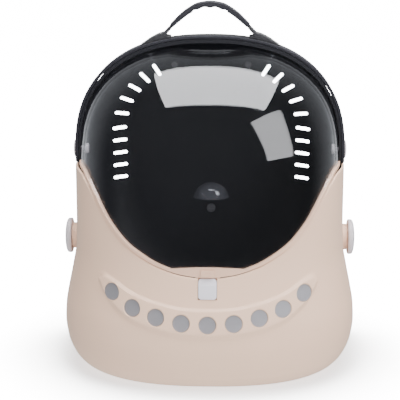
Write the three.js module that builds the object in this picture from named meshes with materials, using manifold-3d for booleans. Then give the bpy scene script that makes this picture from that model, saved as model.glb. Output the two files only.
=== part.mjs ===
// A backpack for carrying a small pet, with a hard lower shell and a clear bubble that opens like a visor.
// Millimetres, +Z up, the front faces -Y. The origin is on the floor, straight below the bubble's hinge line.
import * as THREE from 'three';
import { mergeVertices } from 'three/addons/utils/BufferGeometryUtils.js';
import Module from 'manifold-3d';

const wasm = await Module();
wasm.setup();

// Driving dimensions of the whole
const shellWidth = 348;
const shellFront = 146;
const hingeHeight = 254;
const liningDepth = 100;
const liningFloor = 36;
const domeRise = 124.5;
const domeStart = 100;

// Walls
const shellWall = 2.8;
const liningWall = 2.5;
const domeWall = 2.4;
const hoopWall = 3.6;
const rimFlange = 4.5;

// Clearances
const seatGap = 0.3;
const liningGap = 0.7;
const rearGap = 1.3;
const swingGap = 1.2;
const lipGap = 1;
const pinGap = 0.4;
const buttonGap = 0.5;

// Lower shell: each row is a level, and its widths are shares of the half width, the front and the rear depth
const shellRows = [
  { level: 0.000, width: 0.800, front: 0.800, rear: 0.900 },
  { level: 0.008, width: 0.845, front: 0.850, rear: 0.930 },
  { level: 0.032, width: 0.900, front: 0.905, rear: 0.965 },
  { level: 0.072, width: 0.945, front: 0.953, rear: 0.990 },
  { level: 0.134, width: 0.981, front: 0.985, rear: 1.000 },
  { level: 0.213, width: 0.997, front: 1.000, rear: 1.000 },
  { level: 0.283, width: 0.992, front: 0.996, rear: 1.000 },
  { level: 0.362, width: 0.972, front: 0.975, rear: 1.000 },
  { level: 0.461, width: 0.942, front: 0.945, rear: 1.000 },
  { level: 0.571, width: 0.915, front: 0.925, rear: 1.000 },
  { level: 0.709, width: 0.910, front: 0.915, rear: 1.000 },
  { level: 0.953, width: 0.910, front: 0.905, rear: 1.000 },
];
const neckShare = 0.91;
const shellPower = 2.4;
const shellRearPower = 8;

// Lip of the lower shell: turn is degrees round from the front, height is a share of the hinge height
const lipRows = [
  { turn: 0, height: 0.520 },
  { turn: 11.3, height: 0.531 },
  { turn: 23.3, height: 0.566 },
  { turn: 31, height: 0.606 },
  { turn: 38, height: 0.652 },
  { turn: 45.5, height: 0.724 },
  { turn: 55.4, height: 0.840 },
  { turn: 62.2, height: 0.903 },
  { turn: 68, height: 0.934 },
  { turn: 75, height: 0.942 },
  { turn: 100, height: 0.942 },
  { turn: 110, height: 0.900 },
  { turn: 120, height: 0.760 },
  { turn: 130, height: 0.620 },
  { turn: 142, height: 0.550 },
  { turn: 160, height: 0.520 },
  { turn: 180, height: 0.510 },
];

// Lining: the flat back wall's outline inside the big fillet, as shares of the front outline's sizes
const flatShare = { half: 0.655, up: 0.8, down: 0.74 };
const liningPower = { top: 2.38, bottom: 5, flatBottom: 2.1 };
const filletStart = 0.15;
const lipDrop = 9;
const hoopFront = 12;
const hoopWidth = 30;

// Bubble: turn is degrees from straight up towards the front. swell is what is added to the rise there,
// as a share of the shell's reach in front of domeStart, so the bubble meets the lip at any shellFront
const domeRows = [
  { turn: -180, swell: 0.000, flare: 0.00 },
  { turn: 25, swell: 0.000, flare: 0.00 },
  { turn: 60, swell: 0.054, flare: 0.00 },
  { turn: 80, swell: 0.149, flare: 0.35 },
  { turn: 95, swell: 0.244, flare: 0.75 },
  { turn: 108, swell: 0.420, flare: 1.00 },
  { turn: 120, swell: 0.744, flare: 1.00 },
  { turn: 131, swell: 1.150, flare: 1.00 },
  { turn: 142, swell: 1.678, flare: 1.00 },
  { turn: 180, swell: 0.812, flare: 0.50 },
];
const domeFlare = 3.5;
const domeBack = 5;
const trimWidth = 3.4;
const trimProud = 1.6;
const trimEnd = 22;
const earRadius = 10.5;

// Catch plate, keeper and latch button in the middle of the lip
const plateHalf = 43;
const plateHeight = 13;
const keeper = { width: 14, height: 6.5, thick: 1.4, corner: 1 };
const button = {
  width: 20.4, height: 22.4, depth: 8.5, proud: 1.2, travel: 3, crease: 0.7, slope: 3, corner: 3.4,
};

// Round vents along a smile-shaped raised band, at equal turns round the front. half is a share of the
// shell width in both, and the smile's low and rise are shares of the hinge height. A hole's axis takes only
// a share of the wall's own turn, because the real holes are moulded nearly straight to the front
const ventCount = 9;
const ventRadius = 9.7;
const ventTurn = 10.3;
const ventAxisShare = 0.4;
const smile = { half: 0.3086, low: 0.3219, rise: 0.1175 };
const smileRows = [
  { across: 0, rise: 0 },
  { across: 0.271, rise: 0.0486 },
  { across: 0.534, rise: 0.228 },
  { across: 0.784, rise: 0.514 },
  { across: 1, rise: 1 },
  { across: 1.16, rise: 1.36 },
];
const band = { half: 0.352, above: 17.9, below: 19, rise: 3, endPower: 12 };
const meshThick = 1.2;
const meshDepth = 1.6;

// Air slots of the back, a row for each slot of one side
// across is a share of the bubble's half width, and rise a share of its rise
const slotLength = 17.5;
const slotWidth = 4.6;
const slotRows = [
  { across: 0.452, rise: 0.650, tilt: 57 },
  { across: 0.552, rise: 0.574, tilt: 46 },
  { across: 0.636, rise: 0.470, tilt: 31 },
  { across: 0.702, rise: 0.353, tilt: 21 },
  { across: 0.744, rise: 0.214, tilt: 8 },
  { across: 0.764, rise: 0.066, tilt: -4 },
  { across: 0.762, rise: -0.061, tilt: -3 },
  { across: 0.760, rise: -0.189, tilt: -3 },
  { across: 0.760, rise: -0.315, tilt: -3 },
  { across: 0.760, rise: -0.441, tilt: -3 },
];

// Side knobs and hinge rivets. Here and below, rise is a height above the hinge line
const knob = { rise: -107, radius: 21, bossRadius: 15.5, bossOut: 6.5, capThick: 8.5 };
const rivet = { radius: 11, bulge: 2.6, pin: 2.6, head: 6, headThick: 4 };

// Hood and screws on the back wall
const hood = { half: 22, height: 19.5, depth: 17, rise: -81.5, wall: 1.6, lipHeight: 2.2, lipProud: 1.2 };
const hoodScrew = { radius: 5.6, thick: 2, rise: -95.5 };
const wallScrew = { radius: 4, thick: 1.4, across: 46, rise: 88 };

// Carry handle on top of the hoop
const gripRows = [
  { across: 0.00, rise: 1.00, thick: 1.00 },
  { across: 0.30, rise: 0.925, thick: 0.96 },
  { across: 0.54, rise: 0.715, thick: 0.90 },
  { across: 0.73, rise: 0.470, thick: 0.86 },
  { across: 0.87, rise: 0.235, thick: 0.76 },
  { across: 1.00, rise: 0.00, thick: 0.65 },
  { across: 1.15, rise: -0.30, thick: 0.60 },
];
const grip = {
  half: 46.5, aboveHoop: 38.9, arch: 26.6, thick: 7, width: 26,
  scallop: 1.4, scallopCount: 3, scallopHalf: 23.25,
};

// Sewn tab of the handle. cover is its thickness on the hoop. The strap rises from the second and third row
const tabRows = [
  { across: 45.6, cover: 1.5 },
  { across: 51.3, cover: 3.6 },
  { across: 54.2, cover: 7.2 },
  { across: 57, cover: 7 },
  { across: 69.5, cover: 4.5 },
  { across: 80.7, cover: 1 },
];
const webThick = 3.3;
const webInset = 1;

// Carrying side
const pad = { half: 88, low: -112, high: 62, thick: 12, corner: 26, bevel: 3 };
const strap = { width: 54, thick: 10, webWidth: 25, webThick: 2.2 };
const strapRows = [
  { across: 40, back: 21.5, rise: 30 },
  { across: 40, back: 22, rise: 46 },
  { across: 42, back: 31, rise: 59 },
  { across: 46, back: 43, rise: 49 },
  { across: 52, back: 50, rise: 14 },
  { across: 60, back: 49, rise: -34 },
  { across: 67, back: 41, rise: -72 },
  { across: 70, back: 36, rise: -88.8 },
];
const webRows = [
  { across: 72, back: 29.5, rise: -114.8 },
  { across: 77, back: 21, rise: -136 },
  { across: 83.5, back: 11, rise: -156 },
  { across: 87.5, back: 7.4, rise: -165 },
  { across: 87.5, back: 7.4, rise: -174.4 },
];
const slide = { width: 33, height: 21, thick: 6, corner: 3 };
const anchor = { width: 34, height: 26, thick: 4, corner: 4 };
const topAnchor = { half: 72, height: 24, thick: 3, low: 30, corner: 5 };

// Worked out from the sizes above
const neckHalf = shellWidth / 2 * neckShare;
const liningHalf = neckHalf - shellWall - liningGap;
const domeHalf = liningHalf - liningWall - swingGap;
const liningUp = domeRise + swingGap;
const liningDown = hingeHeight - liningFloor;
const liningBack = liningDepth + liningWall;
const shellRear = liningBack + rearGap + shellWall;
const hoopHalf = liningHalf + seatGap;
const hoopUp = liningUp + rimFlange + seatGap;
const hoopEndHeight = Math.max(...lipRows.map((row) => row.height)) * hingeHeight + seatGap * 2;
const gripPeak = hingeHeight + hoopUp + hoopWall + grip.aboveHoop;
const knobHeight = hingeHeight + knob.rise;
const hoodBase = hingeHeight + hood.rise;
const smileHalf = shellWidth * smile.half;
const far = shellWidth * 2;

const colours = {
  cream: { color: 0xd5c6bb, roughness: 0.42, metalness: 0 },
  black: { color: 0x2a2b30, roughness: 0.45, metalness: 0 },
  rim: { color: 0x303036, roughness: 0.6, metalness: 0 },
  clear: { color: 0x9a9caa, roughness: 0.05, metalness: 0, transparent: true, opacity: 0.35 },
  grey: { color: 0xc8c3cb, roughness: 0.4, metalness: 0 },
  mesh: { color: 0xaaaab2, roughness: 0.6, metalness: 0.4 },
  cloth: { color: 0x3a3b42, roughness: 0.9, metalness: 0 },
};

// A smooth function through the rows of a table, from one named column to another
function curveThrough(rows, from, to) {
  const slopes = rows.map((row, i) => {
    const before = rows[Math.max(i - 1, 0)];
    const after = rows[Math.min(i + 1, rows.length - 1)];
    const left = i > 0 ? (row[to] - before[to]) / (row[from] - before[from]) : 0;
    const right = i < rows.length - 1 ? (after[to] - row[to]) / (after[from] - row[from]) : 0;
    return left * right > 0 ? 2 * left * right / (left + right) : 0;
  });
  return (at) => {
    const last = rows.length - 1;
    if (at <= rows[0][from]) return rows[0][to];
    if (at >= rows[last][from]) return rows[last][to];
    const i = rows.findIndex((row) => row[from] > at) - 1;
    const width = rows[i + 1][from] - rows[i][from];
    const t = (at - rows[i][from]) / width;
    const a = 2 * t ** 3 - 3 * t ** 2 + 1;
    const b = t ** 3 - 2 * t ** 2 + t;
    const c = 3 * t ** 2 - 2 * t ** 3;
    const d = t ** 3 - t ** 2;
    return a * rows[i][to] + b * width * slopes[i] + c * rows[i + 1][to] + d * width * slopes[i + 1];
  };
}

// A point of a rounded outline with its own half width, rise, fall and squareness above and below
function outlinePoint(turn, half, up, down, topPower, bottomPower) {
  const c = Math.cos(turn);
  const s = Math.sin(turn);
  const share = 2 / (s >= 0 ? topPower : bottomPower);
  const x = half * Math.sign(c) * Math.abs(c) ** share;
  const z = (s >= 0 ? up : down) * Math.sign(s) * Math.abs(s) ** share;
  return [x, z];
}

// A closed solid from corner points and triangles, turned right side out
function solidFrom(spots, faces) {
  let volume = 0;
  for (let i = 0; i < faces.length; i += 3) {
    const [a, b, c] = [spots[faces[i]], spots[faces[i + 1]], spots[faces[i + 2]]];
    volume += a.dot(b.clone().cross(c));
  }
  const turned = volume > 0 ? faces : faces.slice().reverse();
  const vertProperties = new Float32Array(spots.flatMap((spot) => [spot.x, spot.y, spot.z]));
  return new wasm.Manifold(new wasm.Mesh({ numProp: 3, vertProperties, triVerts: new Uint32Array(turned) }));
}

// A solid lofted through rings of equally many points, closed by a point at each end
function loft(rings, start, end) {
  const count = rings[0].length;
  const middle = (ring) => ring.reduce((sum, spot) => sum.add(spot), new THREE.Vector3()).divideScalar(count);
  const spots = rings.flat();
  const first = spots.push(start ?? middle(rings[0])) - 1;
  const last = spots.push(end ?? middle(rings[rings.length - 1])) - 1;
  const faces = [];
  const top = (rings.length - 1) * count;
  for (let i = 0; i < count; i++) {
    const next = (i + 1) % count;
    for (let row = 0; row < top; row += count) {
      faces.push(row + i, row + next, row + count + next, row + i, row + count + next, row + count + i);
    }
    faces.push(first, next, i, last, top + i, top + next);
  }
  return solidFrom(spots, faces);
}

function solidOf(geometry) {
  const bare = geometry.index ? geometry.toNonIndexed() : geometry;
  bare.deleteAttribute('normal');
  bare.deleteAttribute('uv');
  const merged = mergeVertices(bare, 1e-4);
  const places = merged.attributes.position;
  const spots = [];
  for (let i = 0; i < places.count; i++) spots.push(new THREE.Vector3().fromBufferAttribute(places, i));
  return solidFrom(spots, Array.from(merged.index.array));
}

const box = (low, high) => {
  const size = high.map((value, i) => value - low[i]);
  const geometry = new THREE.BoxGeometry(...size);
  return solidOf(geometry.translate(...low.map((value, i) => value + size[i] / 2)));
};

// A cylinder whose axis runs along X or Y, or along Y turned about the vertical
function barrel(radius, length, place, axis, sideCount = 20, turn = 0) {
  const geometry = new THREE.CylinderGeometry(radius, radius, length, sideCount);
  if (axis === 'x') geometry.rotateZ(Math.PI / 2);
  else geometry.rotateZ(turn);
  return solidOf(geometry.translate(...place));
}

// A flat outline seen from the front, with x and z, pushed from one depth to another
function frontSlab(points, near, deep, bevel = 0) {
  const shape = new THREE.Shape(points.map(([x, z]) => new THREE.Vector2(x, z)));
  const geometry = new THREE.ExtrudeGeometry(shape, {
    depth: deep - near - 2 * bevel, steps: 1, curveSegments: 6,
    bevelEnabled: bevel > 0, bevelThickness: bevel, bevelSize: bevel, bevelOffset: -bevel, bevelSegments: 1,
  });
  return solidOf(geometry.rotateX(Math.PI / 2).translate(0, deep - bevel, 0));
}

// A flat outline seen from the side, with y and z, pushed from one x to another
function sideSlab(points, left, right) {
  const shape = new THREE.Shape(points.map(([y, z]) => new THREE.Vector2(y, z)));
  const geometry = new THREE.ExtrudeGeometry(shape, { depth: right - left, steps: 1, bevelEnabled: false });
  const turn = new THREE.Matrix4().makeBasis(
    new THREE.Vector3(0, 1, 0), new THREE.Vector3(0, 0, 1), new THREE.Vector3(1, 0, 0));
  return solidOf(geometry.applyMatrix4(turn).translate(left, 0, 0));
}

function roundedRectangle(half, low, high, corner, stepCount = 3) {
  const points = [];
  const centres = [[half - corner, high - corner], [corner - half, high - corner],
    [corner - half, low + corner], [half - corner, low + corner]];
  centres.forEach(([x, z], quarter) => {
    for (let i = 0; i <= stepCount; i++) {
      const turn = (quarter + i / stepCount) * Math.PI / 2;
      points.push([x + corner * Math.cos(turn), z + corner * Math.sin(turn)]);
    }
  });
  return points;
}

// The lower shell's half width and front depth at a height, and its surface at a place of the front
const shellWidthAt = curveThrough(shellRows, 'level', 'width');
const shellFrontAt = curveThrough(shellRows, 'level', 'front');
const shellRearAt = curveThrough(shellRows, 'level', 'rear');

function shellRing(height, inset) {
  const level = height / hingeHeight;
  const half = shellWidth / 2 * shellWidthAt(level) - inset;
  const front = shellFront * shellFrontAt(level) - inset;
  const rear = shellRear * shellRearAt(level) - inset;
  const ring = [];
  const frontCount = 22;
  const rearCount = 10;
  for (let i = 0; i < frontCount + rearCount; i++) {
    const atFront = i < frontCount;
    const turn = Math.PI * (atFront ? i / frontCount - 1 : (i - frontCount) / rearCount);
    const [x, y] = outlinePoint(turn, half, rear, front, shellRearPower, shellPower);
    ring.push(new THREE.Vector3(x, y, height));
  }
  return ring;
}

function shellSpot(x, height) {
  const half = shellWidth / 2 * shellWidthAt(height / hingeHeight);
  const front = shellFront * shellFrontAt(height / hingeHeight);
  const share = Math.abs(x / half) ** shellPower;
  const depth = front * (1 - share) ** (1 / shellPower);
  const slope = (front / half) ** shellPower * (Math.abs(x) / depth) ** (shellPower - 1);
  return { y: -depth, turn: Math.sign(x) * Math.atan(slope) };
}

// every is 1 for the surface that shows, and 2 for a hidden one with half of the levels
function shellBody(inset, floor, top, every = 1) {
  const levels = shellRows.map((row) => row.level * hingeHeight)
    .filter((height, i) => i % every === 0 && height > floor + 1 && height < top);
  return loft([floor, ...levels, top].map((height) => shellRing(height, inset)));
}

// Everything above the lip, pushed up by an amount measured square to the lip
const lipAt = curveThrough(lipRows, 'turn', 'height');

function lipHeight(turn, offset) {
  const step = 1;
  const radius = (shellFront + neckHalf) / 2;
  const run = radius * 2 * step * Math.PI / 180;
  const slope = (lipAt(turn + step) - lipAt(Math.max(turn - step, 0))) * hingeHeight / run;
  return lipAt(turn) * hingeHeight + offset * Math.sqrt(1 + slope ** 2);
}

// How far the neck of the shell lies from the middle, in a direction given in degrees from the front
function neckRadius(turn) {
  const s = Math.abs(Math.sin(turn * Math.PI / 180));
  const c = Math.cos(turn * Math.PI / 180);
  const power = c > 0 ? shellPower : shellRearPower;
  const depth = c > 0 ? shellFront * shellRows[shellRows.length - 1].front : shellRear;
  return ((s / neckHalf) ** power + (Math.abs(c) / depth) ** power) ** (-1 / power);
}

function aboveLip(offset) {
  const spots = [];
  const faces = [];
  const stationCount = 48;
  const top = hingeHeight + domeRise * 2;
  for (let i = 0; i < stationCount; i++) {
    const angle = 2 * Math.PI * (i / stationCount - 0.5);
    const turn = Math.abs(THREE.MathUtils.radToDeg(angle));
    const height = lipHeight(turn, offset);
    const out = new THREE.Vector2(Math.sin(angle), -Math.cos(angle));
    const wall = neckRadius(turn);
    const inner = wall / 4;
    const section = [[inner, height], [wall, height], [far, height], [far, top], [inner, top]];
    for (const [radius, level] of section) {
      spots.push(new THREE.Vector3(out.x * radius, out.y * radius, level));
    }
    for (let side = 0; side < section.length; side++) {
      const next = (side + 1) % section.length;
      const here = i * section.length;
      const after = ((i + 1) % stationCount) * section.length;
      faces.push(here + side, here + next, after + next, here + side, after + next, after + side);
    }
  }
  return solidFrom(spots, faces);
}

// The smile-shaped line that the vents follow, and the outline of the raised band round them
const smileRiseAt = curveThrough(smileRows, 'across', 'rise');
const smileAt = (x) => hingeHeight * (smile.low + smile.rise * smileRiseAt(Math.abs(x) / smileHalf));

function bandOutline(grow) {
  const points = [];
  const stepCount = 15;
  const middle = (band.above - band.below) / 2;
  const thick = (band.above + band.below) / 2 + grow;
  for (const side of [1, -1]) {
    for (let i = 0; i < stepCount; i++) {
      const u = side * Math.cos(Math.PI * i / stepCount);
      const x = u * (shellWidth * band.half + grow);
      points.push([x, smileAt(x) + middle + side * thick * Math.sqrt(1 - u ** band.endPower)]);
    }
  }
  return points;
}

const buttonTop = lipHeight(0, 0);
const buttonLow = buttonTop - button.height;
const pocketHalf = button.width / 2 + buttonGap;
const buttonFace = shellSpot(0, buttonLow).y - button.proud;
const pocketFloor = buttonFace + button.depth + button.travel + buttonGap;

function baseShell() {
  const top = shellRows[shellRows.length - 1].level * hingeHeight;
  const skin = shellBody(0, 0, top);
  const raised = shellBody(-band.rise, 0, top).intersect(frontSlab(bandOutline(0), -far, -shellFront / 4));
  const boss = knob.bossOut + shellWall;
  const bosses = [-1, 1].map((side) => barrel(
    knob.bossRadius, boss, [side * (neckHalf + knob.bossOut - boss / 2), 0, knobHeight], 'x', 18));
  const housing = box([-pocketHalf - shellWall, -shellFront, buttonLow - buttonGap - shellWall],
    [pocketHalf + shellWall, pocketFloor + shellWall, hingeHeight]).intersect(skin);
  const pocket = box([-pocketHalf, -far, buttonLow - buttonGap], [pocketHalf, pocketFloor, hingeHeight]);
  let shell = skin.add(raised).subtract(shellBody(shellWall, shellWall, hingeHeight, 2));
  for (const piece of [...bosses, housing]) shell = shell.add(piece);
  for (const vent of vents) shell = shell.subtract(ventBarrel(vent, ventRadius));
  return shell.subtract(pocket).subtract(aboveLip(0));
}

const vents = Array.from({ length: ventCount }, (_, i) => {
  const middle = (ventCount - 1) / 2;
  const across = (steps) => Math.sin(THREE.MathUtils.degToRad(ventTurn * steps));
  const x = smileHalf * across(i - middle) / across(middle);
  return { x, height: smileAt(x), ...shellSpot(x, smileAt(x)) };
});

function ventBarrel(vent, radius) {
  return barrel(radius, shellWall * 8, [vent.x, vent.y, vent.height], 'y', 12, vent.turn * ventAxisShare);
}

// A vent's mesh is a flat sheet along the wall, a little below the band's face
function ventMesh(vent) {
  const rise = (shellSpot(vent.x, vent.height + 1).y - shellSpot(vent.x, vent.height - 1).y) / 2;
  const out = new THREE.Vector3(Math.tan(vent.turn), -1, rise).normalize();
  const turn = new THREE.Quaternion().setFromUnitVectors(new THREE.Vector3(0, -1, 0), out);
  const middle = new THREE.Vector3(vent.x, vent.y, vent.height)
    .addScaledVector(out, band.rise - meshDepth - meshThick / 2);
  const sheet = new THREE.BoxGeometry(ventRadius * 4, meshThick, ventRadius * 4)
    .applyQuaternion(turn).translate(...middle);
  return solidOf(sheet).intersect(ventBarrel(vent, ventRadius - seatGap));
}

// The lining and back: straight to the front, with one big fillet round the flat back wall
function liningRing(round, depth, grow) {
  const upGrow = grow > 0 ? rimFlange : 0;
  const stepCount = 32;
  const front = { half: liningHalf - liningWall + grow, up: liningUp + upGrow, down: liningDown + grow };
  const flat = {
    half: (liningHalf - liningWall) * flatShare.half,
    up: liningUp * flatShare.up,
    down: liningDown * flatShare.down,
  };
  return Array.from({ length: stepCount }, (_, i) => {
    const turn = 2 * Math.PI * i / stepCount;
    const { top, bottom, flatBottom } = liningPower;
    const [x1, z1] = outlinePoint(turn, front.half, front.up, front.down, top, bottom);
    const [x2, z2] = outlinePoint(turn, flat.half, flat.up, flat.down, top, flatBottom);
    return new THREE.Vector3(x2 + (x1 - x2) * round, depth, hingeHeight + z2 + (z1 - z2) * round);
  });
}

function liningBody(grow, front) {
  const start = liningDepth * filletStart;
  const deep = liningDepth + grow - start;
  const rings = [liningRing(1, front, grow)];
  const stepCount = 5;
  for (let i = 0; i <= stepCount; i++) {
    const turn = Math.PI / 2 * i / stepCount;
    rings.push(liningRing(Math.cos(turn), start + deep * Math.sin(turn), grow));
  }
  return loft(rings);
}

function backShell() {
  const reach = -shellFront * 1.2;
  const bell = shellBody(shellWall + seatGap, shellWall + seatGap, hoopEndHeight, 2);
  const core = shellBody(shellWall + seatGap + liningWall, shellWall * 3, hoopEndHeight * 2, 2);
  const lower = liningBody(liningWall, reach).intersect(bell).subtract(aboveLip(-lipDrop));
  const upper = liningBody(liningWall, -hoopFront);
  const frontHollow = liningBody(0, reach).intersect(core);
  const hollow = liningBody(0, -hoopFront * 1.5).add(frontHollow);
  let shell = lower.add(upper).subtract(hollow);
  const clear = shellWall + seatGap * 2;
  shell = shell.subtract(box([-pocketHalf - clear, -far, buttonLow - buttonGap - clear],
    [pocketHalf + clear, pocketFloor + clear, hingeHeight]));
  shell = shell.subtract(frontSlab(bandOutline(0), -far, -shellFront / 4));
  for (const side of [-1, 1]) {
    for (const row of slotRows) shell = shell.subtract(slotCutter(row, side));
    shell = shell.subtract(pinHole(side));
  }
  return shell;
}

function slotCutter(row, side) {
  const points = [];
  const straight = (slotLength - slotWidth) / 2;
  const stepCount = 3;
  for (const end of [1, -1]) {
    for (let i = 0; i <= stepCount; i++) {
      const turn = Math.PI * (i / stepCount - 0.5) + (end < 0 ? Math.PI : 0);
      points.push([end * straight + slotWidth / 2 * Math.cos(turn), slotWidth / 2 * Math.sin(turn)]);
    }
  }
  const tilt = side * row.tilt * Math.PI / 180;
  const centre = [side * row.across * domeHalf, hingeHeight + row.rise * domeRise];
  const turned = points.map(([x, z]) => [
    centre[0] + x * Math.cos(tilt) - z * Math.sin(tilt),
    centre[1] + x * Math.sin(tilt) + z * Math.cos(tilt)]);
  return frontSlab(turned, liningDepth * filletStart, liningBack * 1.2);
}

const pinHole = (side) => barrel(
  rivet.pin + pinGap, shellWidth / 4, [side * domeHalf, 0, hingeHeight], 'x', 12);

function rimHoop() {
  const stepCount = 56;
  const outline = (grow) => Array.from({ length: stepCount }, (_, i) => {
    const [x, z] = outlinePoint(2 * Math.PI * i / stepCount, hoopHalf + grow, hoopUp + grow, liningDown,
      liningPower.top, liningPower.bottom);
    return [x, z + hingeHeight];
  });
  const end = hoopWidth - hoopFront;
  let hoop = frontSlab(outline(hoopWall), -hoopFront, end).subtract(frontSlab(outline(0), -far, far));
  hoop = hoop.subtract(box([-far, -far, -far], [far, far, hoopEndHeight]));
  for (const side of [-1, 1]) hoop = hoop.subtract(pinHole(side));
  return hoop;
}

// The bubble: a wall that turns about the hinge line, cut along the lip
const domeSwellAt = curveThrough(domeRows, 'turn', 'swell');
const domeFlareAt = curveThrough(domeRows, 'turn', 'flare');
const domeRadius = (turn) => domeRise + domeSwellAt(turn) * (shellFront - domeStart);

function domeBody(inset) {
  const turns = [-150, -120, -90, -60, -30];
  for (let turn = -10; turn <= 150; turn += 10) turns.push(turn);
  turns.push(165, 180);
  const ringCount = 16;
  const rings = [];
  for (let j = 1; j < ringCount; j++) {
    const angle = Math.PI * j / ringCount;
    const share = 2 / liningPower.top;
    const rise = Math.sin(angle) ** share;
    const along = -Math.sign(Math.cos(angle)) * Math.abs(Math.cos(angle)) ** share;
    rings.push(turns.map((turn) => {
      const radius = (domeRadius(turn) - inset) * rise;
      const x = along * (domeHalf - inset + domeFlare * domeFlareAt(turn) * rise);
      const angleX = turn * Math.PI / 180;
      return new THREE.Vector3(x, -radius * Math.sin(angleX), hingeHeight + radius * Math.cos(angleX));
    }));
  }
  const end = (side) => new THREE.Vector3(side * (domeHalf - inset), 0, hingeHeight);
  return loft(rings, end(-1), end(1));
}

function plateOutline(grow) {
  const points = [];
  const stepCount = 8;
  for (let i = 0; i <= stepCount; i++) {
    const u = 1 - 2 * i / stepCount;
    const low = lipHeight(0, 0) + plateHeight + grow;
    points.push([u * (plateHalf + grow), low - (plateHeight / 5) * u ** 2]);
  }
  return [...points, [-plateHalf - grow, buttonTop / 2], [plateHalf + grow, buttonTop / 2]];
}

const beforeHoop = () => box([-far, -far, -far], [far, -trimEnd, far]);

function domeTrim() {
  const wall = domeBody(-trimProud).subtract(domeBody(domeWall));
  const edge = aboveLip(lipGap).subtract(aboveLip(lipGap + trimWidth)).intersect(beforeHoop());
  const plate = aboveLip(lipGap).intersect(frontSlab(plateOutline(0), -far, -shellFront / 2));
  return wall.intersect(edge.add(plate));
}

function dome() {
  const beforeBack = box([-far, -far, -far], [far, domeBack, far]);
  const above = aboveLip(lipGap + trimWidth + seatGap).intersect(beforeBack);
  const wall = domeBody(0).subtract(domeBody(domeWall));
  const ears = barrel(earRadius, far, [0, 0, hingeHeight], 'x', 16);
  let bubble = wall.intersect(above.add(ears));
  bubble = bubble.subtract(frontSlab(plateOutline(seatGap), -far, -shellFront / 2));
  return bubble.subtract(barrel(rivet.pin + pinGap, far, [0, 0, hingeHeight], 'x', 12));
}

function frontOfDome(height) {
  const down = hingeHeight - height;
  let reach = domeRise;
  for (let i = 0; i < 30; i++) {
    const turn = 90 + Math.atan2(down, reach) * 180 / Math.PI;
    reach = Math.sqrt(domeRadius(turn) ** 2 - down ** 2);
  }
  return -reach;
}

function keeperTab() {
  const middle = (buttonTop + lipGap + buttonTop + plateHeight) / 2;
  const low = middle - keeper.height / 2;
  const back = frontOfDome(low + keeper.height) - trimProud - seatGap;
  const outline = roundedRectangle(keeper.width / 2, low, low + keeper.height, keeper.corner, 2);
  const slots = [-1, 1].map((side) => box(
    [side * keeper.width / 8 - keeper.width / 16, -far, middle - keeper.height / 6],
    [side * keeper.width / 8 + keeper.width / 16, back - keeper.thick / 2, middle + keeper.height / 6]));
  let tab = frontSlab(outline, back - keeper.thick, back);
  for (const slot of slots) tab = tab.subtract(slot);
  return tab;
}

function latchButton() {
  const back = buttonFace + button.depth;
  const crease = buttonLow + button.height * button.crease;
  const lean = shellSpot(0, buttonTop).y - shellSpot(0, buttonLow).y;
  const face = (height) => buttonFace + lean * (height - buttonLow) / button.height;
  const profile = [[back, buttonLow], [back, buttonTop], [face(buttonTop) + button.slope, buttonTop],
    [face(crease), crease], [face(buttonLow), buttonLow]];
  const outline = roundedRectangle(button.width / 2, buttonLow, buttonTop, button.corner, 3);
  return frontSlab(outline, -far, 0).intersect(sideSlab(profile, -far, far));
}

function turned(profile, sideCount, place, side) {
  const geometry = new THREE.LatheGeometry(profile.map(([r, h]) => new THREE.Vector2(r, h)), sideCount);
  geometry.rotateZ(-side * Math.PI / 2);
  return solidOf(geometry.translate(...place));
}

function knobCap(side) {
  const seat = neckHalf + knob.bossOut + seatGap;
  const { radius, capThick } = knob;
  const profile = [[0, 0], [radius * 0.95, 0], [radius, capThick * 0.15], [radius, capThick * 0.5],
    [radius * 0.9, capThick * 0.75], [radius * 0.5, capThick * 0.95], [0, capThick]];
  return turned(profile, 18, [side * seat, 0, knobHeight], side);
}

function pivotRivet(side) {
  const outer = hoopHalf + hoopWall + seatGap;
  const inner = domeHalf - domeWall - seatGap * 2 - rivet.headThick;
  const shaft = outer - inner;
  const profile = [[0, 0], [rivet.head, 0], [rivet.head, rivet.headThick],
    [rivet.pin, rivet.headThick], [rivet.pin, shaft], [rivet.radius, shaft],
    [rivet.radius, shaft + rivet.bulge * 0.3], [rivet.radius * 0.65, shaft + rivet.bulge * 0.85],
    [0, shaft + rivet.bulge]];
  return turned(profile, 14, [side * inner, 0, hingeHeight], side);
}

function airHood() {
  const back = liningDepth - seatGap;
  const ball = (inset) => solidOf(new THREE.SphereGeometry(1, 16, 8)
    .scale(hood.half - inset, hood.depth - inset, hood.height - inset).translate(0, back, hoodBase));
  const from = (top) => box([-far, -far, hoodBase], [far, back, top]);
  const lip = ball(-hood.lipProud).intersect(from(hoodBase + hood.lipHeight));
  return ball(0).intersect(from(far)).add(lip).subtract(ball(hood.wall));
}

function roundScrew(size, x, height) {
  const back = liningDepth - seatGap;
  const slot = size.radius * 0.55;
  const bar = size.radius * 0.16;
  return barrel(size.radius, size.thick, [x, back - size.thick / 2, height], 'y', 12)
    .subtract(box([x - slot, -far, height - bar], [x + slot, back - size.thick / 2, height + bar]))
    .subtract(box([x - bar, -far, height - slot], [x + bar, back - size.thick / 2, height + slot]));
}

// The carry handle's grip, with finger scallops on its underside
const handleNear = -hoopFront + (hoopWidth - grip.width) / 2;
const gripRiseAt = curveThrough(gripRows, 'across', 'rise');
const gripThickAt = curveThrough(gripRows, 'across', 'thick');
const gripTop = (x) => gripPeak - grip.arch * (1 - gripRiseAt(Math.abs(x) / grip.half));

const gripAway = (x) => new THREE.Vector2((gripTop(x + 1) - gripTop(x - 1)) / 2, -1).normalize();

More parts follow.
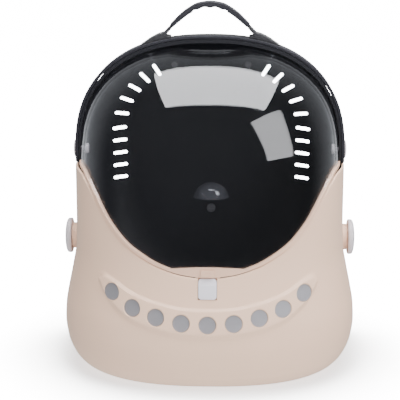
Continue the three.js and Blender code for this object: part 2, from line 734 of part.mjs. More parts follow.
function handleGrip() {
  const stepCount = 30;
  const upper = [];
  const lower = [];
  for (let i = 0; i <= stepCount; i++) {
    const x = grip.half * (1 - 2 * i / stepCount);
    const away = gripAway(x);
    const inScallops = Math.abs(x) < grip.scallopHalf;
    const wave = inScallops ? Math.cos(Math.PI * x * grip.scallopCount / grip.scallopHalf) - 1 : 0;
    const thick = grip.thick * gripThickAt(Math.abs(x) / grip.half) + grip.scallop * wave / 2;
    upper.push([x, gripTop(x)]);
    lower.push([x + away.x * thick, gripTop(x) + away.y * thick]);
  }
  return frontSlab([...upper, ...lower.reverse()], handleNear, handleNear + grip.width);
}

// The sewn tab of the handle: it lies on the hoop, and its strap runs up to the grip's end
function handleTab(side) {
  const onHoop = (x, cover) => {
    const half = hoopHalf + hoopWall + seatGap;
    const up = hoopUp + hoopWall + seatGap;
    return [x, hingeHeight + up * (1 - (x / half) ** liningPower.top) ** (1 / liningPower.top) + cover];
  };
  const stepCount = 8;
  const [inner, outer] = [tabRows[0].across, tabRows[tabRows.length - 1].across];
  const under = [];
  for (let i = 0; i <= stepCount; i++) under.push(onHoop(inner + (outer - inner) * i / stepCount, 0));
  const cover = tabRows.map((row) => onHoop(row.across, row.cover)).reverse();
  const away = gripAway(grip.half);
  const start = new THREE.Vector2(grip.half, gripTop(grip.half)).addScaledVector(away, webInset)
    .add(new THREE.Vector2(-away.y, away.x).multiplyScalar(seatGap * 2));
  const strap = [start, start.clone().addScaledVector(away, webThick)].map((spot) => [spot.x, spot.y]);
  cover.splice(-2, 0, ...strap);
  const outline = [...under, ...cover].map(([x, z]) => [side * x, z]);
  return frontSlab(side > 0 ? outline : outline.reverse(), handleNear, handleNear + grip.width);
}

// The carrying side: a padded panel with two shoulder straps
const padBack = liningBack + seatGap + pad.thick;

function backPad() {
  const outline = roundedRectangle(pad.half, hingeHeight + pad.low, hingeHeight + pad.high, pad.corner, 4);
  return frontSlab(outline, liningBack + seatGap, padBack, pad.bevel);
}

// A ribbon of cloth along a route, with its width held level
function ribbon(rows, side, width, thick) {
  const spots = rows.map((row) => new THREE.Vector3(
    row.across, liningBack + row.back, hingeHeight + row.rise));
  const route = new THREE.CatmullRomCurve3(spots);
  const stepCount = Math.round(rows.length * 1.6);
  const level = new THREE.Vector3(1, 0, 0);
  const rings = [];
  for (let i = 0; i <= stepCount; i++) {
    const spot = route.getPoint(i / stepCount);
    const along = route.getTangent(i / stepCount);
    const across = level.clone().addScaledVector(along, -along.x).normalize();
    const out = along.clone().cross(across).normalize();
    const corner = thick * 0.3;
    const outline = [[1, -1, 0, 1], [1, 1, 0, -1], [1, 1, -1, 0], [-1, 1, 1, 0],
      [-1, 1, 0, -1], [-1, -1, 0, 1], [-1, -1, 1, 0], [1, -1, -1, 0]];
    rings.push(outline.map(([sx, sy, cx, cy]) => spot.clone()
      .addScaledVector(across, sx * width / 2 + cx * corner)
      .addScaledVector(out, sy * thick / 2 + cy * corner)));
  }
  return side > 0 ? loft(rings) : loft(rings).mirror([1, 0, 0]);
}

function strapSlide(side) {
  const [low, high] = [webRows[0], strapRows[strapRows.length - 1]];
  const x = side * (low.across + high.across) / 2;
  const y = liningBack + (low.back + high.back) / 2;
  const z = hingeHeight + (low.rise + high.rise) / 2;
  const lean = Math.atan2(high.back - low.back, high.rise - low.rise);
  const frame = roundedRectangle(slide.width / 2, -slide.height / 2, slide.height / 2, slide.corner, 3);
  const window = (low2, high2) => box(
    [-strap.webWidth / 2 - buttonGap, -far, low2], [strap.webWidth / 2 + buttonGap, far, high2]);
  const bar = slide.height / 8;
  const reach = slide.height / 2 - bar;
  const solid = frontSlab(frame, -slide.thick / 2, slide.thick / 2)
    .subtract(window(-reach, -bar / 2)).subtract(window(bar / 2, reach));
  return solid.rotate([-lean * 180 / Math.PI, 0, 0]).translate([x, y, z]);
}

function topAnchorPatch() {
  const low = hingeHeight + topAnchor.low;
  const outline = roundedRectangle(topAnchor.half, low, low + topAnchor.height, topAnchor.corner, 3);
  const back = padBack + seatGap;
  return frontSlab(outline, back, back + topAnchor.thick);
}

function lowAnchor(side) {
  const back = shellRear + seatGap;
  const end = webRows[webRows.length - 1];
  const top = hingeHeight + end.rise - seatGap * 2;
  const outline = roundedRectangle(anchor.width / 2, top - anchor.height, top, anchor.corner, 3);
  return frontSlab(outline, back, back + anchor.thick).translate([side * end.across, 0, 0]);
}

const carrier = new THREE.Group();

function addPiece(name, solid, look) {
  const mesh = solid.getMesh();
  const geometry = new THREE.BufferGeometry();
  const width = mesh.numProp;
  const places = new Float32Array(mesh.vertProperties.length / width * 3);
  for (let i = 0; i < places.length / 3; i++) {
    for (let k = 0; k < 3; k++) places[i * 3 + k] = mesh.vertProperties[i * width + k];
  }
  geometry.setAttribute('position', new THREE.BufferAttribute(places, 3));
  geometry.setIndex(new THREE.BufferAttribute(new Uint32Array(mesh.triVerts), 1));
  geometry.computeVertexNormals();
  const piece = new THREE.Mesh(geometry, new THREE.MeshStandardMaterial(look));
  piece.name = name;
  carrier.add(piece);
}

addPiece('base_shell', baseShell(), colours.cream);
addPiece('back_shell', backShell(), colours.black);
addPiece('rim_hoop', rimHoop(), colours.rim);
addPiece('dome', dome(), colours.clear);
addPiece('dome_trim', domeTrim(), colours.cream);
addPiece('keeper_tab', keeperTab(), colours.cream);
addPiece('latch_button', latchButton(), colours.grey);
vents.forEach((vent, i) => addPiece(`vent_mesh_${i + 1}`, ventMesh(vent), colours.mesh));
addPiece('air_hood', airHood(), colours.clear);
addPiece('hood_screw', roundScrew(hoodScrew, 0, hingeHeight + hoodScrew.rise), colours.black);
addPiece('handle_grip', handleGrip(), colours.rim);
addPiece('back_pad', backPad(), colours.cloth);
addPiece('top_anchor', topAnchorPatch(), colours.cloth);
for (const [side, word] of [[-1, 'left'], [1, 'right']]) {
  addPiece(`knob_cap_${word}`, knobCap(side), colours.grey);
  addPiece(`pivot_rivet_${word}`, pivotRivet(side), colours.grey);
  addPiece(`wall_screw_${word}`, roundScrew(wallScrew, side * wallScrew.across, hingeHeight + wallScrew.rise),
    colours.black);
  addPiece(`handle_tab_${word}`, handleTab(side), colours.cloth);
  addPiece(`shoulder_pad_${word}`, ribbon(strapRows, side, strap.width, strap.thick), colours.cloth);
  addPiece(`strap_web_${word}`, ribbon(webRows, side, strap.webWidth, strap.webThick), colours.cloth);
  addPiece(`strap_slide_${word}`, strapSlide(side), colours.black);
  addPiece(`low_anchor_${word}`, lowAnchor(side), colours.cloth);
}

export default carrier;
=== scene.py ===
# %% [markdown]
# # A bubble backpack that carries a small pet
# The real thing has a cream lower shell, a black back shell that lines it, and a clear bubble that swings
# up like a visor. The imported CAD model gives each size, place and moving body. Here most pieces are made
# again with finer curves and rounded edges, a few small ones stay as they are with rounded edges, and every
# piece gets its finish, in the same frame. Lengths are in millimetres until a mesh is made.

# %% Load the imported model
import math

import bpy
import numpy as np
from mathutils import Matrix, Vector


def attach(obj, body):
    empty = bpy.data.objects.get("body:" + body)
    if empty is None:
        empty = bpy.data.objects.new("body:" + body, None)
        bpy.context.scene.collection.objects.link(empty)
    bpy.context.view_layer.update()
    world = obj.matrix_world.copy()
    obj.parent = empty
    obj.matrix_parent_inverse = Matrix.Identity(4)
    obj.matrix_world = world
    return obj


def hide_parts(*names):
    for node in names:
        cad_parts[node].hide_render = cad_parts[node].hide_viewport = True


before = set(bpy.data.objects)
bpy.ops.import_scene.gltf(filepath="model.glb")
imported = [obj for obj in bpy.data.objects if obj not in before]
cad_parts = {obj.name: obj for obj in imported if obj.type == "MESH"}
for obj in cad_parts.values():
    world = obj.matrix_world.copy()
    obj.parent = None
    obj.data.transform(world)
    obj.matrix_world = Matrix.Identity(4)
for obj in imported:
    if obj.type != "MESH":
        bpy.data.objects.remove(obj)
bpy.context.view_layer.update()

# %% [markdown]
# ## Camera
# The photo looks a little down on the front from about a metre and a half, through a long lens. The place,
# the heading and the focal length were worked out from the outline of the shell and the places of the
# vents. The lens needs no shift, so the other views keep the same framing.

# %% Camera
MM = 0.001
LENS_PIXELS, PHOTO_PIXELS, SENSOR = 1262, 400, 36
eye = np.array([25.74, -1474.66, 525.35])
heading = math.radians(1) + math.atan(10 / LENS_PIXELS)
down = math.radians(10.5) + math.atan(50 / LENS_PIXELS)
gaze = np.array([-math.sin(heading) * math.cos(down), math.cos(heading) * math.cos(down), -math.sin(down)])

camera = bpy.data.objects.new("camera", bpy.data.cameras.new("camera"))
camera.data.sensor_width = SENSOR
camera.data.lens = LENS_PIXELS / PHOTO_PIXELS * SENSOR
camera.data.clip_end = 100
camera.location = eye * MM
camera.rotation_euler = Vector(gaze).to_track_quat("-Z", "Y").to_euler()
bpy.context.scene.collection.objects.link(camera)
bpy.context.scene.camera = camera
print("camera lens, mm:", round(camera.data.lens, 1))

# %% [markdown]
# ## Sizes
# These are the sizes of the CAD model. The tables give a smooth curve through a few measured rows, which is
# how the shell swells towards its base and how the lip dips at the front.

# %% Sizes of the shells
SHELL_WIDTH, SHELL_FRONT, HINGE = 348, 146, 254
LINING_DEPTH, LINING_FLOOR, DOME_RISE = 100, 36, 124.5
SHELL_WALL, LINING_WALL, DOME_WALL, HOOP_WALL, RIM_FLANGE = 2.8, 2.5, 2.4, 3.6, 4.5
SEAT_GAP, LIP_GAP, BUTTON_GAP, PIN_BORE = 0.3, 1, 0.5, 3
NECK_HALF = SHELL_WIDTH / 2 * 0.91
LINING_HALF = NECK_HALF - SHELL_WALL - 0.7
DOME_HALF = LINING_HALF - LINING_WALL - 1.2
LINING_UP = DOME_RISE + 1.2
LINING_DOWN = HINGE - LINING_FLOOR
LINING_BACK = LINING_DEPTH + LINING_WALL
SHELL_REAR = LINING_BACK + 1.3 + SHELL_WALL
HOOP_HALF = LINING_HALF + SEAT_GAP
HOOP_UP = LINING_UP + RIM_FLANGE + SEAT_GAP
HOOP_FRONT, HOOP_WIDTH = 12, 30
SHELL_POWER, REAR_POWER, ARCH_POWER = 2.4, 8, 2.38
FAR = SHELL_WIDTH * 2


def curve_through(*rows):
    """A smooth function through rows of (at, value) that never swings past a row."""
    at, value = np.array(rows, float).T
    run = np.diff(at)
    rise = np.diff(value) / run
    slope = np.zeros_like(at)
    left, right = rise[:-1], rise[1:]
    same = left * right > 0
    slope[1:-1][same] = 2 * left[same] * right[same] / (left[same] + right[same])

    def read(x):
        x = np.clip(x, at[0], at[-1])
        i = np.clip(np.searchsorted(at, x, side="right") - 1, 0, len(run) - 1)
        t = (x - at[i]) / run[i]
        return ((2 * t**3 - 3 * t**2 + 1) * value[i] + (t**3 - 2 * t**2 + t) * run[i] * slope[i]
                + (3 * t**2 - 2 * t**3) * value[i + 1] + (t**3 - t**2) * run[i] * slope[i + 1])
    return read


width_at = curve_through((0, .8), (.008, .845), (.032, .9), (.072, .945), (.134, .981), (.213, .997),
                         (.283, .992), (.362, .972), (.461, .942), (.571, .915), (.709, .91), (.953, .91))
front_at = curve_through((0, .8), (.008, .85), (.032, .905), (.072, .953), (.134, .985), (.213, 1),
                         (.283, .996), (.362, .975), (.461, .945), (.571, .925), (.709, .915), (.953, .905))
rear_at = curve_through((0, .9), (.008, .93), (.032, .965), (.072, .99), (.134, 1), (.953, 1))
LIP_AT_HINGE = 0.942
lip_at = curve_through((0, .52), (11.3, .531), (23.3, .566), (31, .606), (38, .652), (45.5, .724),
                       (55.4, .84), (62.2, .903), (68, .934), (75, LIP_AT_HINGE), (100, LIP_AT_HINGE),
                       (110, .9), (120, .76), (130, .62), (142, .55), (160, .52), (180, .51))
HOOP_END = LIP_AT_HINGE * HINGE + SEAT_GAP * 2
print("hoop ends at height, mm:", round(HOOP_END, 1))

# %% [markdown]
# ## Making meshes
# Most pieces are skins over rings of points. A ring is a row of points round or across the piece, so a
# whole piece is one NumPy array and its faces are a plain grid. Holes and cuts use Blender's Boolean
# modifier with the manifold solver, which keeps closed bodies closed and is fast on fine meshes.

# %% Mesh helpers
def add_piece(name, points, faces):
    """A new object from points in millimetres, with its faces turned outwards."""
    mesh = bpy.data.meshes.new(name)
    mesh.from_pydata((np.asarray(points, float) * MM).tolist(), [], faces)
    piece = bpy.data.objects.new(name, mesh)
    bpy.context.scene.collection.objects.link(piece)
    turn_outwards(mesh)
    return piece


def turn_outwards(mesh):
    """Flips the faces of a closed mesh that encloses a negative volume."""
    co = np.array([v.co for v in mesh.vertices])
    mesh.calc_loop_triangles()
    tri = np.array([t.vertices for t in mesh.loop_triangles])
    a, b, c = co[tri[:, 0]], co[tri[:, 1]], co[tri[:, 2]]
    if (a * np.cross(b, c)).sum() < 0:
        mesh.flip_normals()


def grid_faces(rows, around, closed=True):
    index = np.arange(rows * around).reshape(rows, around)
    after = np.roll(index, -1, axis=1)
    if not closed:
        index, after = index[:, :-1], after[:, :-1]
    return np.stack([index[:-1], after[:-1], after[1:], index[1:]], -1).reshape(-1, 4).tolist()


def skin(name, rings, ends=None):
    """A closed body over rings of equally many points. Each end closes round a point, or round its middle."""
    rings = np.asarray(rings, float)
    rows, around = rings.shape[:2]
    start, stop = (rings[0].mean(0), rings[-1].mean(0)) if ends is None else ends
    points = np.vstack([rings.reshape(-1, 3), start, stop])
    faces = grid_faces(rows, around)
    first, last, top = rows * around, rows * around + 1, (rows - 1) * around
    for i in range(around):
        j = (i + 1) % around
        faces += [[first, j, i], [last, top + i, top + j]]
    return add_piece(name, points, faces)


def apply_modifiers(piece):
    graph = bpy.context.evaluated_depsgraph_get()
    mesh = bpy.data.meshes.new_from_object(piece.evaluated_get(graph))
    old = piece.data
    piece.modifiers.clear()
    piece.data = mesh
    bpy.data.meshes.remove(old)
    return piece


def combine(piece, tool, how="DIFFERENCE"):
    """Cuts, joins or crosses a closed body with another, and drops the other."""
    step = piece.modifiers.new("combine", "BOOLEAN")
    step.operation, step.object, step.solver = how, tool, "MANIFOLD"
    apply_modifiers(piece)
    bpy.data.objects.remove(tool)
    return piece


def cut(piece, *tools):
    for tool in tools:
        combine(piece, tool)
    return piece


def cross(piece, tool):
    return combine(piece, tool, "INTERSECT")


def join(piece, *tools):
    for tool in tools:
        combine(piece, tool, "UNION")
    return piece


def shade(piece, angle=32):
    """Smooth shading that breaks at edges sharper than an angle in degrees."""
    piece.data.shade_smooth()
    piece.data.set_sharp_from_angle(angle=math.radians(angle))
    return piece


def round_edges(piece, width, segments=3, angle=35):
    step = piece.modifiers.new("round", "BEVEL")
    step.width, step.segments = width * MM, segments
    step.limit_method, step.angle_limit = "ANGLE", math.radians(angle)
    step.harden_normals = False
    return shade(apply_modifiers(piece), 40)


print("helpers ready")

# %% Simple closed bodies
def block(low, high):
    x, y, z = zip(low, high)
    points = [(x[i], y[j], z[k]) for i in (0, 1) for j in (0, 1) for k in (0, 1)]
    faces = [(0, 1, 3, 2), (4, 6, 7, 5), (0, 4, 5, 1), (2, 3, 7, 6), (0, 2, 6, 4), (1, 5, 7, 3)]
    return add_piece("block", points, faces)


def slab(outline, near, deep, axis, name="slab"):
    """A flat outline pushed from one place to another along an axis, where 0 is x and 1 is y."""
    outline = np.asarray(outline, float)
    count = len(outline)
    points = np.vstack([np.insert(outline, axis, near, axis=1), np.insert(outline, axis, deep, axis=1)])
    sides = [[i, (i + 1) % count, (i + 1) % count + count, i + count] for i in range(count)]
    return add_piece(name, points, sides + [list(range(count))[::-1], list(range(count, 2 * count))])


def front_slab(outline, near, deep, name="slab"):
    """A flat outline of (x, z) points pushed from one depth to another."""
    return slab(outline, near, deep, 1, name)


def rounded_box(half, low, high, corner, steps=8):
    points = []
    centres = [(half - corner, high - corner), (corner - half, high - corner),
               (corner - half, low + corner), (half - corner, low + corner)]
    for quarter, (x, z) in enumerate(centres):
        for i in range(steps + 1):
            turn = (quarter + i / steps) * math.pi / 2
            points.append((x + corner * math.cos(turn), z + corner * math.sin(turn)))
    return points


def lathe(name, profile, axis, place, sides=64):
    """A body turned round an axis from (radius, height) points that start and end on the axis."""
    axis = Vector(axis).normalized()
    across = axis.orthogonal().normalized()
    third = axis.cross(across)
    turns = np.linspace(0, 2 * math.pi, sides, endpoint=False)
    ring = np.cos(turns)[:, None] * np.array(across) + np.sin(turns)[:, None] * np.array(third)
    place, axis = np.array(place), np.array(axis)
    rings = [ring * r + axis * h + place for r, h in profile if r > 1e-6]
    return skin(name, rings, (place + axis * profile[0][1], place + axis * profile[-1][1]))


def drum(radius, length, place, axis=(0, 1, 0), sides=64):
    half = length / 2
    return lathe("drum", [(0, -half), (radius, -half), (radius, half), (0, half)], axis, place, sides)


print("bodies ready")

# %% Shapes of the shell and the lip
def shell_radius(turn, height, grow=0):
    """How far the shell's skin lies from the middle, in a direction in degrees from the front."""
    s, c = np.abs(np.sin(np.radians(turn))), np.cos(np.radians(turn))
    level = np.asarray(height, float) / HINGE
    half = SHELL_WIDTH / 2 * width_at(level) + grow
    depth = np.where(c > 0, SHELL_FRONT * front_at(level), SHELL_REAR * rear_at(level)) + grow
    power = np.where(c > 0, SHELL_POWER, REAR_POWER)
    return ((s / half) ** power + (np.abs(c) / depth) ** power) ** (-1 / power)


def lip_height(turn, offset=0):
    """The lip's height, pushed up by an offset measured square to the lip."""
    turn = np.abs((np.asarray(turn, float) + 180) % 360 - 180)
    run = (SHELL_FRONT + NECK_HALF) * math.pi / 180
    slope = (lip_at(turn + 1) - lip_at(np.maximum(turn - 1, 0))) * HINGE / run
    return lip_at(turn) * HINGE + offset * np.sqrt(1 + slope**2)


def on_turn(turn, radius, height):
    turn = np.radians(turn)
    return np.stack(np.broadcast_arrays(radius * np.sin(turn), -radius * np.cos(turn), height), -1)


def shell_body(grow, floor, top, around=240, rows=70):
    """The space inside the shell's skin, between two heights."""
    turn = np.linspace(0, 360, around, endpoint=False)
    heights = floor + (top - floor) * np.linspace(0, 1, rows) ** 1.3
    return skin("space", [on_turn(turn, shell_radius(turn, h, grow), h) for h in heights])


def above_lip(offset, stations=360):
    """A ring-shaped body of everything above the lip."""
    turn = np.linspace(0, 360, stations, endpoint=False)
    level, top = lip_height(turn, offset), HINGE + DOME_RISE * 2
    s, c = np.abs(np.sin(np.radians(turn))), np.cos(np.radians(turn))
    power = np.where(c > 0, SHELL_POWER, REAR_POWER)
    depth = np.where(c > 0, SHELL_FRONT * 0.905, SHELL_REAR)
    wall = ((s / NECK_HALF) ** power + (np.abs(c) / depth) ** power) ** (-1 / power)
    corners = [on_turn(turn, wall / 4, level), on_turn(turn, wall, level), on_turn(turn, FAR, level),
               on_turn(turn, FAR, top), on_turn(turn, wall / 4, top)]
    points = np.stack(corners).reshape(-1, 3)
    faces = grid_faces(5, stations)
    faces += [[4 * stations + i, 4 * stations + (i + 1) % stations, (i + 1) % stations, i]
              for i in range(stations)]
    return add_piece("above", points, faces)


BUTTON = {"width": 20.4, "height": 22.4, "depth": 8.5, "proud": 1.2, "travel": 3, "crease": 0.7, "slope": 3}
button_top = float(lip_height(0))
button_low = button_top - BUTTON["height"]
pocket_half = BUTTON["width"] / 2 + BUTTON_GAP
button_face = -float(shell_radius(0, button_low)) - BUTTON["proud"]
pocket_floor = button_face + BUTTON["depth"] + BUTTON["travel"] + BUTTON_GAP

smile_half, band_half = SHELL_WIDTH * 0.3086, SHELL_WIDTH * 0.352
BAND_ABOVE, BAND_BELOW, BAND_RISE, BAND_END = 17.9, 19, 3, 12
smile_rise = curve_through((0, 0), (.271, .0486), (.534, .228), (.784, .514), (1, 1), (1.16, 1.36))


def smile_at(x):
    return HINGE * (0.3219 + 0.1175 * smile_rise(np.abs(x) / smile_half))


def ease(value):
    value = np.clip(value, 0, 1)
    return value * value * (3 - 2 * value)


def band_share(x, z):
    """How far up the raised band a point of the front is, from 0 to 1: crisp above and soft below."""
    reach = np.sqrt(np.clip(1 - np.abs(x / band_half) ** BAND_END, 0, 1))
    middle = smile_at(np.clip(x, -band_half, band_half)) + (BAND_ABOVE - BAND_BELOW) / 2
    thick = (BAND_ABOVE + BAND_BELOW) / 2 * reach
    return ease((middle + thick - z) / 3) * ease((z - middle + thick) / 9)


print("lip dips to, mm:", round(button_top, 1), "and the latch stands out to, mm:", round(-button_face))

# %% [markdown]
# ## Shader maths
# A finish is a small network of nodes. Wiring each Math node by hand hides the idea, so one class wraps a
# socket and gives it Python's operators: `1 - mask * 0.4` then adds the nodes by itself. Colours and
# vectors are kept out of Math nodes, which would turn them grey, and go through Mix and Vector Math.

# %% Sockets with operators
class Wire:
    """The output of a node, with the operators that shader maths needs."""

    def __init__(self, finish, socket):
        self.finish, self.socket = finish, socket

    def maths(self, how, *others):
        return self.finish.node("ShaderNodeMath", {"operation": how}, dict(enumerate((self, *others))))

    def __add__(self, other):
        return self.maths("ADD", other)

    def __sub__(self, other):
        return self.maths("SUBTRACT", other)

    def __rsub__(self, other):
        return self.finish.node("ShaderNodeMath", {"operation": "SUBTRACT"}, {0: other, 1: self})

    def __mul__(self, other):
        return self.maths("MULTIPLY", other)

    def __truediv__(self, other):
        return self.maths("DIVIDE", other)

    def __pow__(self, other):
        return self.maths("POWER", other)

    __radd__, __rmul__ = __add__, __mul__

    def between(self, low, high):
        """0 below low, 1 above high and smooth in between."""
        return self.finish.node("ShaderNodeMapRange", {"interpolation_type": "SMOOTHSTEP"}, {
            "Value": self, "From Min": low, "From Max": high})


class Finish:
    """One material, with its shader and a method that adds any node."""

    def __init__(self, name, **constants):
        self.material = bpy.data.materials.new(name)
        self.material.use_nodes = True
        self.tree = self.material.node_tree
        self.tree.nodes.clear()
        self.shader = self.tree.nodes.new("ShaderNodeBsdfPrincipled")
        self.output = self.tree.nodes.new("ShaderNodeOutputMaterial")
        self.tree.links.new(self.shader.outputs[0], self.output.inputs["Surface"])
        for socket, value in constants.items():
            self.shader.inputs[socket.replace("_", " ").title().replace("Ior", "IOR")].default_value = value

    def node(self, kind, settings=None, inputs=None, output=0):
        made = self.tree.nodes.new(kind)
        for key, value in (settings or {}).items():
            setattr(made, key, value)
        for key, value in (inputs or {}).items():
            self.plug(made.inputs[key], value)
        return Wire(self, made.outputs[output])

    def plug(self, socket, value):
        if isinstance(value, Wire):
            self.tree.links.new(value.socket, socket)
        elif isinstance(value, tuple) and len(value) == 3 and socket.type == "RGBA":
            socket.default_value = (*value, 1)
        else:
            socket.default_value = value

    def feed(self, **links):
        for socket, value in links.items():
            self.plug(self.shader.inputs[socket.replace("_", " ").title()], value)
        return self

    def place(self):
        return self.node("ShaderNodeTexCoord", output="Object")

    def along(self):
        return self.node("ShaderNodeUVMap", {"uv_map": "along"})

    def parts(self, vector):
        split = self.node("ShaderNodeSeparateXYZ", inputs={0: vector}).socket.node
        return [Wire(self, socket) for socket in split.outputs]

    def noise(self, scale, detail=2.0, vector=None, roughness=0.5):
        return self.node("ShaderNodeTexNoise", inputs={
            "Vector": vector or self.place(), "Scale": scale, "Detail": detail, "Roughness": roughness})

    def blend(self, share, first, second):
        """A colour between two, by a share from 0 to 1."""
        made = self.tree.nodes.new("ShaderNodeMix")
        made.data_type = "RGBA"
        for index, value in ((0, share), (6, first), (7, second)):
            self.plug(made.inputs[index], value)
        return Wire(self, made.outputs[2])

    def relief(self, height, depth, strength):
        """A Bump node whose height is in metres."""
        return self.node("ShaderNodeBump", inputs={"Height": height, "Distance": depth, "Strength": strength})


def screen(*rgb):
    """A linear colour from levels on a screen, from 0 to 255."""
    return tuple(((v / 255 + 0.055) / 1.055) ** 2.4 if v > 10 else v / 255 / 12.92 for v in rgb)


print("shader helpers ready")

# %% [markdown]
# ## Finishes
# The cream shell is moulded plastic with a very fine grain, so it is satin: broad soft highlights and no
# reflections that can be read. Noise at three scales gives the grain, faint clouding of the colour and
# small changes of gloss from handling.

# %% Cream plastic
def moulded(name, colour, roughness, grain=0.00006, cloud=0.02, grain_scale=1500, specular=0.5):
    """Moulded plastic with fine grain, faint clouding and uneven gloss."""
    finish = Finish(name, ior=1.5, specular_ior_level=specular)
    slow, fine = finish.noise(14, 3), finish.noise(grain_scale, 1)
    darker = tuple(c * (1 - 2 * cloud) for c in colour)
    lighter = tuple(min(1, c * (1 + cloud)) for c in colour)
    handled = finish.noise(60, 4, roughness=0.6)
    finish.feed(base_color=finish.blend(slow, darker, lighter),
                roughness=handled.between(0.3, 0.75) * 0.07 + (roughness - 0.035),
                normal=finish.relief(fine, grain, 0.5))
    return finish.material


CREAM = (0.85, 0.575, 0.418)
cream = moulded("cream_plastic", CREAM, 0.44)
# The trim and its keeper use the same cream made darker: painted shade for the trim that sits recessed under
# the lip.
shaded_cream_trim = moulded("shaded_cream_trim", (0.8, 0.52, 0.375), 0.38)
black = moulded("black_plastic", (0.014, 0.0143, 0.018), 0.4, grain=0.00001, specular=0.4)
knob_grey = moulded("knob_plastic", screen(205, 200, 206), 0.4)
latch_grey = moulded("latch_plastic", screen(222, 219, 228), 0.34)
buckle_black = moulded("buckle_plastic", (0.012, 0.012, 0.013), 0.38)
screw_black = moulded("screw_plastic", (0.08, 0.08, 0.088), 0.35)
rubber = moulded("hoop_rubber", (0.024, 0.024, 0.03), 0.55, grain=0.0001, grain_scale=1100, specular=0.2)
grip_rubber = moulded("grip_rubber", (0.022, 0.022, 0.028), 0.55, grain=0.0001, grain_scale=900, specular=0.3)
print("plastics:", len(bpy.data.materials))

# %% [markdown]
# The bubble is clear plastic a little over two millimetres thick, with a faint smoky tint. A wall this thin
# hardly bends light, so it is a mix of straight passage and mirror gloss. The share that is mirrored
# follows Schlick's rule for plastic: about four in a hundred when looked at squarely, and nearly all at a
# grazing angle. Faint smears change the gloss a little, as on any visor that is wiped by hand.

# %% Clear plastic
def clear_plastic(name, tint, roughness=0.02, haze=0.0, squarely=0.043):
    finish = Finish(name, metallic=1.0, base_color=(0.97, 0.975, 1.0, 1))
    smear = finish.noise(30, 3)
    finish.feed(roughness=smear.between(0.3, 0.9) * 0.02 + roughness)
    facing = finish.node("ShaderNodeLayerWeight", inputs={"Blend": 0.5}, output="Facing")
    mirrored = facing ** 5 * (1 - squarely) + squarely
    clear = finish.node("ShaderNodeBsdfTransparent", inputs={"Color": tint})
    if haze:
        milk = finish.node("ShaderNodeBsdfDiffuse", inputs={"Color": (0.5, 0.5, 0.56)})
        clear = finish.node("ShaderNodeMixShader", inputs={0: haze, 1: clear, 2: milk})
    gloss = Wire(finish, finish.shader.outputs[0])
    both = finish.node("ShaderNodeMixShader", inputs={0: mirrored, 1: clear, 2: gloss})
    finish.plug(finish.output.inputs["Surface"], both)
    return finish.material


bubble_clear = clear_plastic("bubble_clear", (0.955, 0.96, 0.97))
hood_clear = clear_plastic("hood_clear", (0.9, 0.91, 0.93), 0.08, haze=0.09, squarely=0.06)
print("clear plastics ready")

# %% [markdown]
# The vents are closed by fine woven wire. Its wires are far thinner than a pixel of the photo, so only a
# soft grey shows. Two crossed waves make the weave, and it feeds the relief and the colour alike: its holes
# are painted dark grey, a painted shade of the space behind the wire.

# %% Wire mesh and cloths
def woven_wire():
    finish = Finish("vent_wire", metallic=0.55, roughness=0.5)
    x, _, z = finish.parts(finish.place())
    pitch = 2 * math.pi / 0.0011
    warp = (x * pitch).maths("SINE")
    weft = (z * pitch).maths("SINE")
    weave = (warp * weft) * 0.5 + 0.5
    # The holes of the weave get the dark grey: painted shade of the space behind the wire.
    hole_and_shade = weave.between(0.72, 0.95)
    finish.feed(base_color=finish.blend(hole_and_shade, screen(178, 177, 184), screen(96, 96, 100)),
                normal=finish.relief(weave, 0.0003, 0.6))
    return finish.material


def woven_tape(name, colour, rib=0.0016):
    """Strap webbing: ribs across it, and a fine twill along it."""
    finish = Finish(name, roughness=0.8, sheen_weight=0.15, sheen_roughness=0.5)
    across, along, _ = finish.parts(finish.along())
    ribs = (along * (2 * math.pi / rib)).maths("SINE") * 0.5 + 0.5
    twill = ((across + along * 0.5) * (2 * math.pi / (rib * 0.7))).maths("SINE") * 0.5 + 0.5
    height = ribs * 0.6 + twill * 0.4
    # Rib crests get the lighter colour and the grooves the darker one: painted highlight and painted shade of
    # the weave.
    light = tuple(c * 1.5 + 0.004 for c in colour)
    finish.feed(base_color=finish.blend(height, colour, light), normal=finish.relief(height, 0.0004, 0.8))
    return finish.material


def air_cloth(name, colour, pitch=0.0034):
    """Padded knit with small open cells, as on the back of a rucksack."""
    finish = Finish(name, roughness=0.9, sheen_weight=0.25, sheen_roughness=0.5)
    cells = finish.node("ShaderNodeTexVoronoi", {"feature": "DISTANCE_TO_EDGE"}, {
        "Vector": finish.place(), "Scale": 1 / pitch, "Randomness": 0.35})
    thread = finish.noise(2600, 2)
    # Open cells are darker than the threads round them: painted shade in the recessed cells. The thread noise
    # varies the tone at random.
    hole_and_shade = cells.between(0.06, 0.3)
    light = tuple(c * 2.2 + 0.01 for c in colour)
    finish.feed(base_color=finish.blend(hole_and_shade * (thread * 0.4 + 0.6), light, colour),
                normal=finish.relief(thread * 0.25 - hole_and_shade, 0.0007, 0.8))
    return finish.material


def plain_cloth(name, colour, pitch=0.0009):
    """Tight plain weave in the row frame, which needs no map of the surface."""
    finish = Finish(name, roughness=0.85, sheen_weight=0.2, sheen_roughness=0.5)
    x, y, z = finish.parts(finish.place())
    first = ((x + y * 0.4) * (2 * math.pi / pitch)).maths("SINE")
    second = ((z + y * 0.3) * (2 * math.pi / pitch)).maths("SINE")
    weave = first * second * 0.5 + 0.5
    slow = finish.noise(40, 3)
    # The raised crossings of the weave get the lighter colour: painted highlight and painted shade of the
    # weave. The slow noise is a random tone of the cloth.
    light = tuple(c * 1.6 + 0.003 for c in colour)
    finish.feed(base_color=finish.blend(weave * 0.7 + slow * 0.3, colour, light),
                normal=finish.relief(weave, 0.0003, 0.7))
    return finish.material


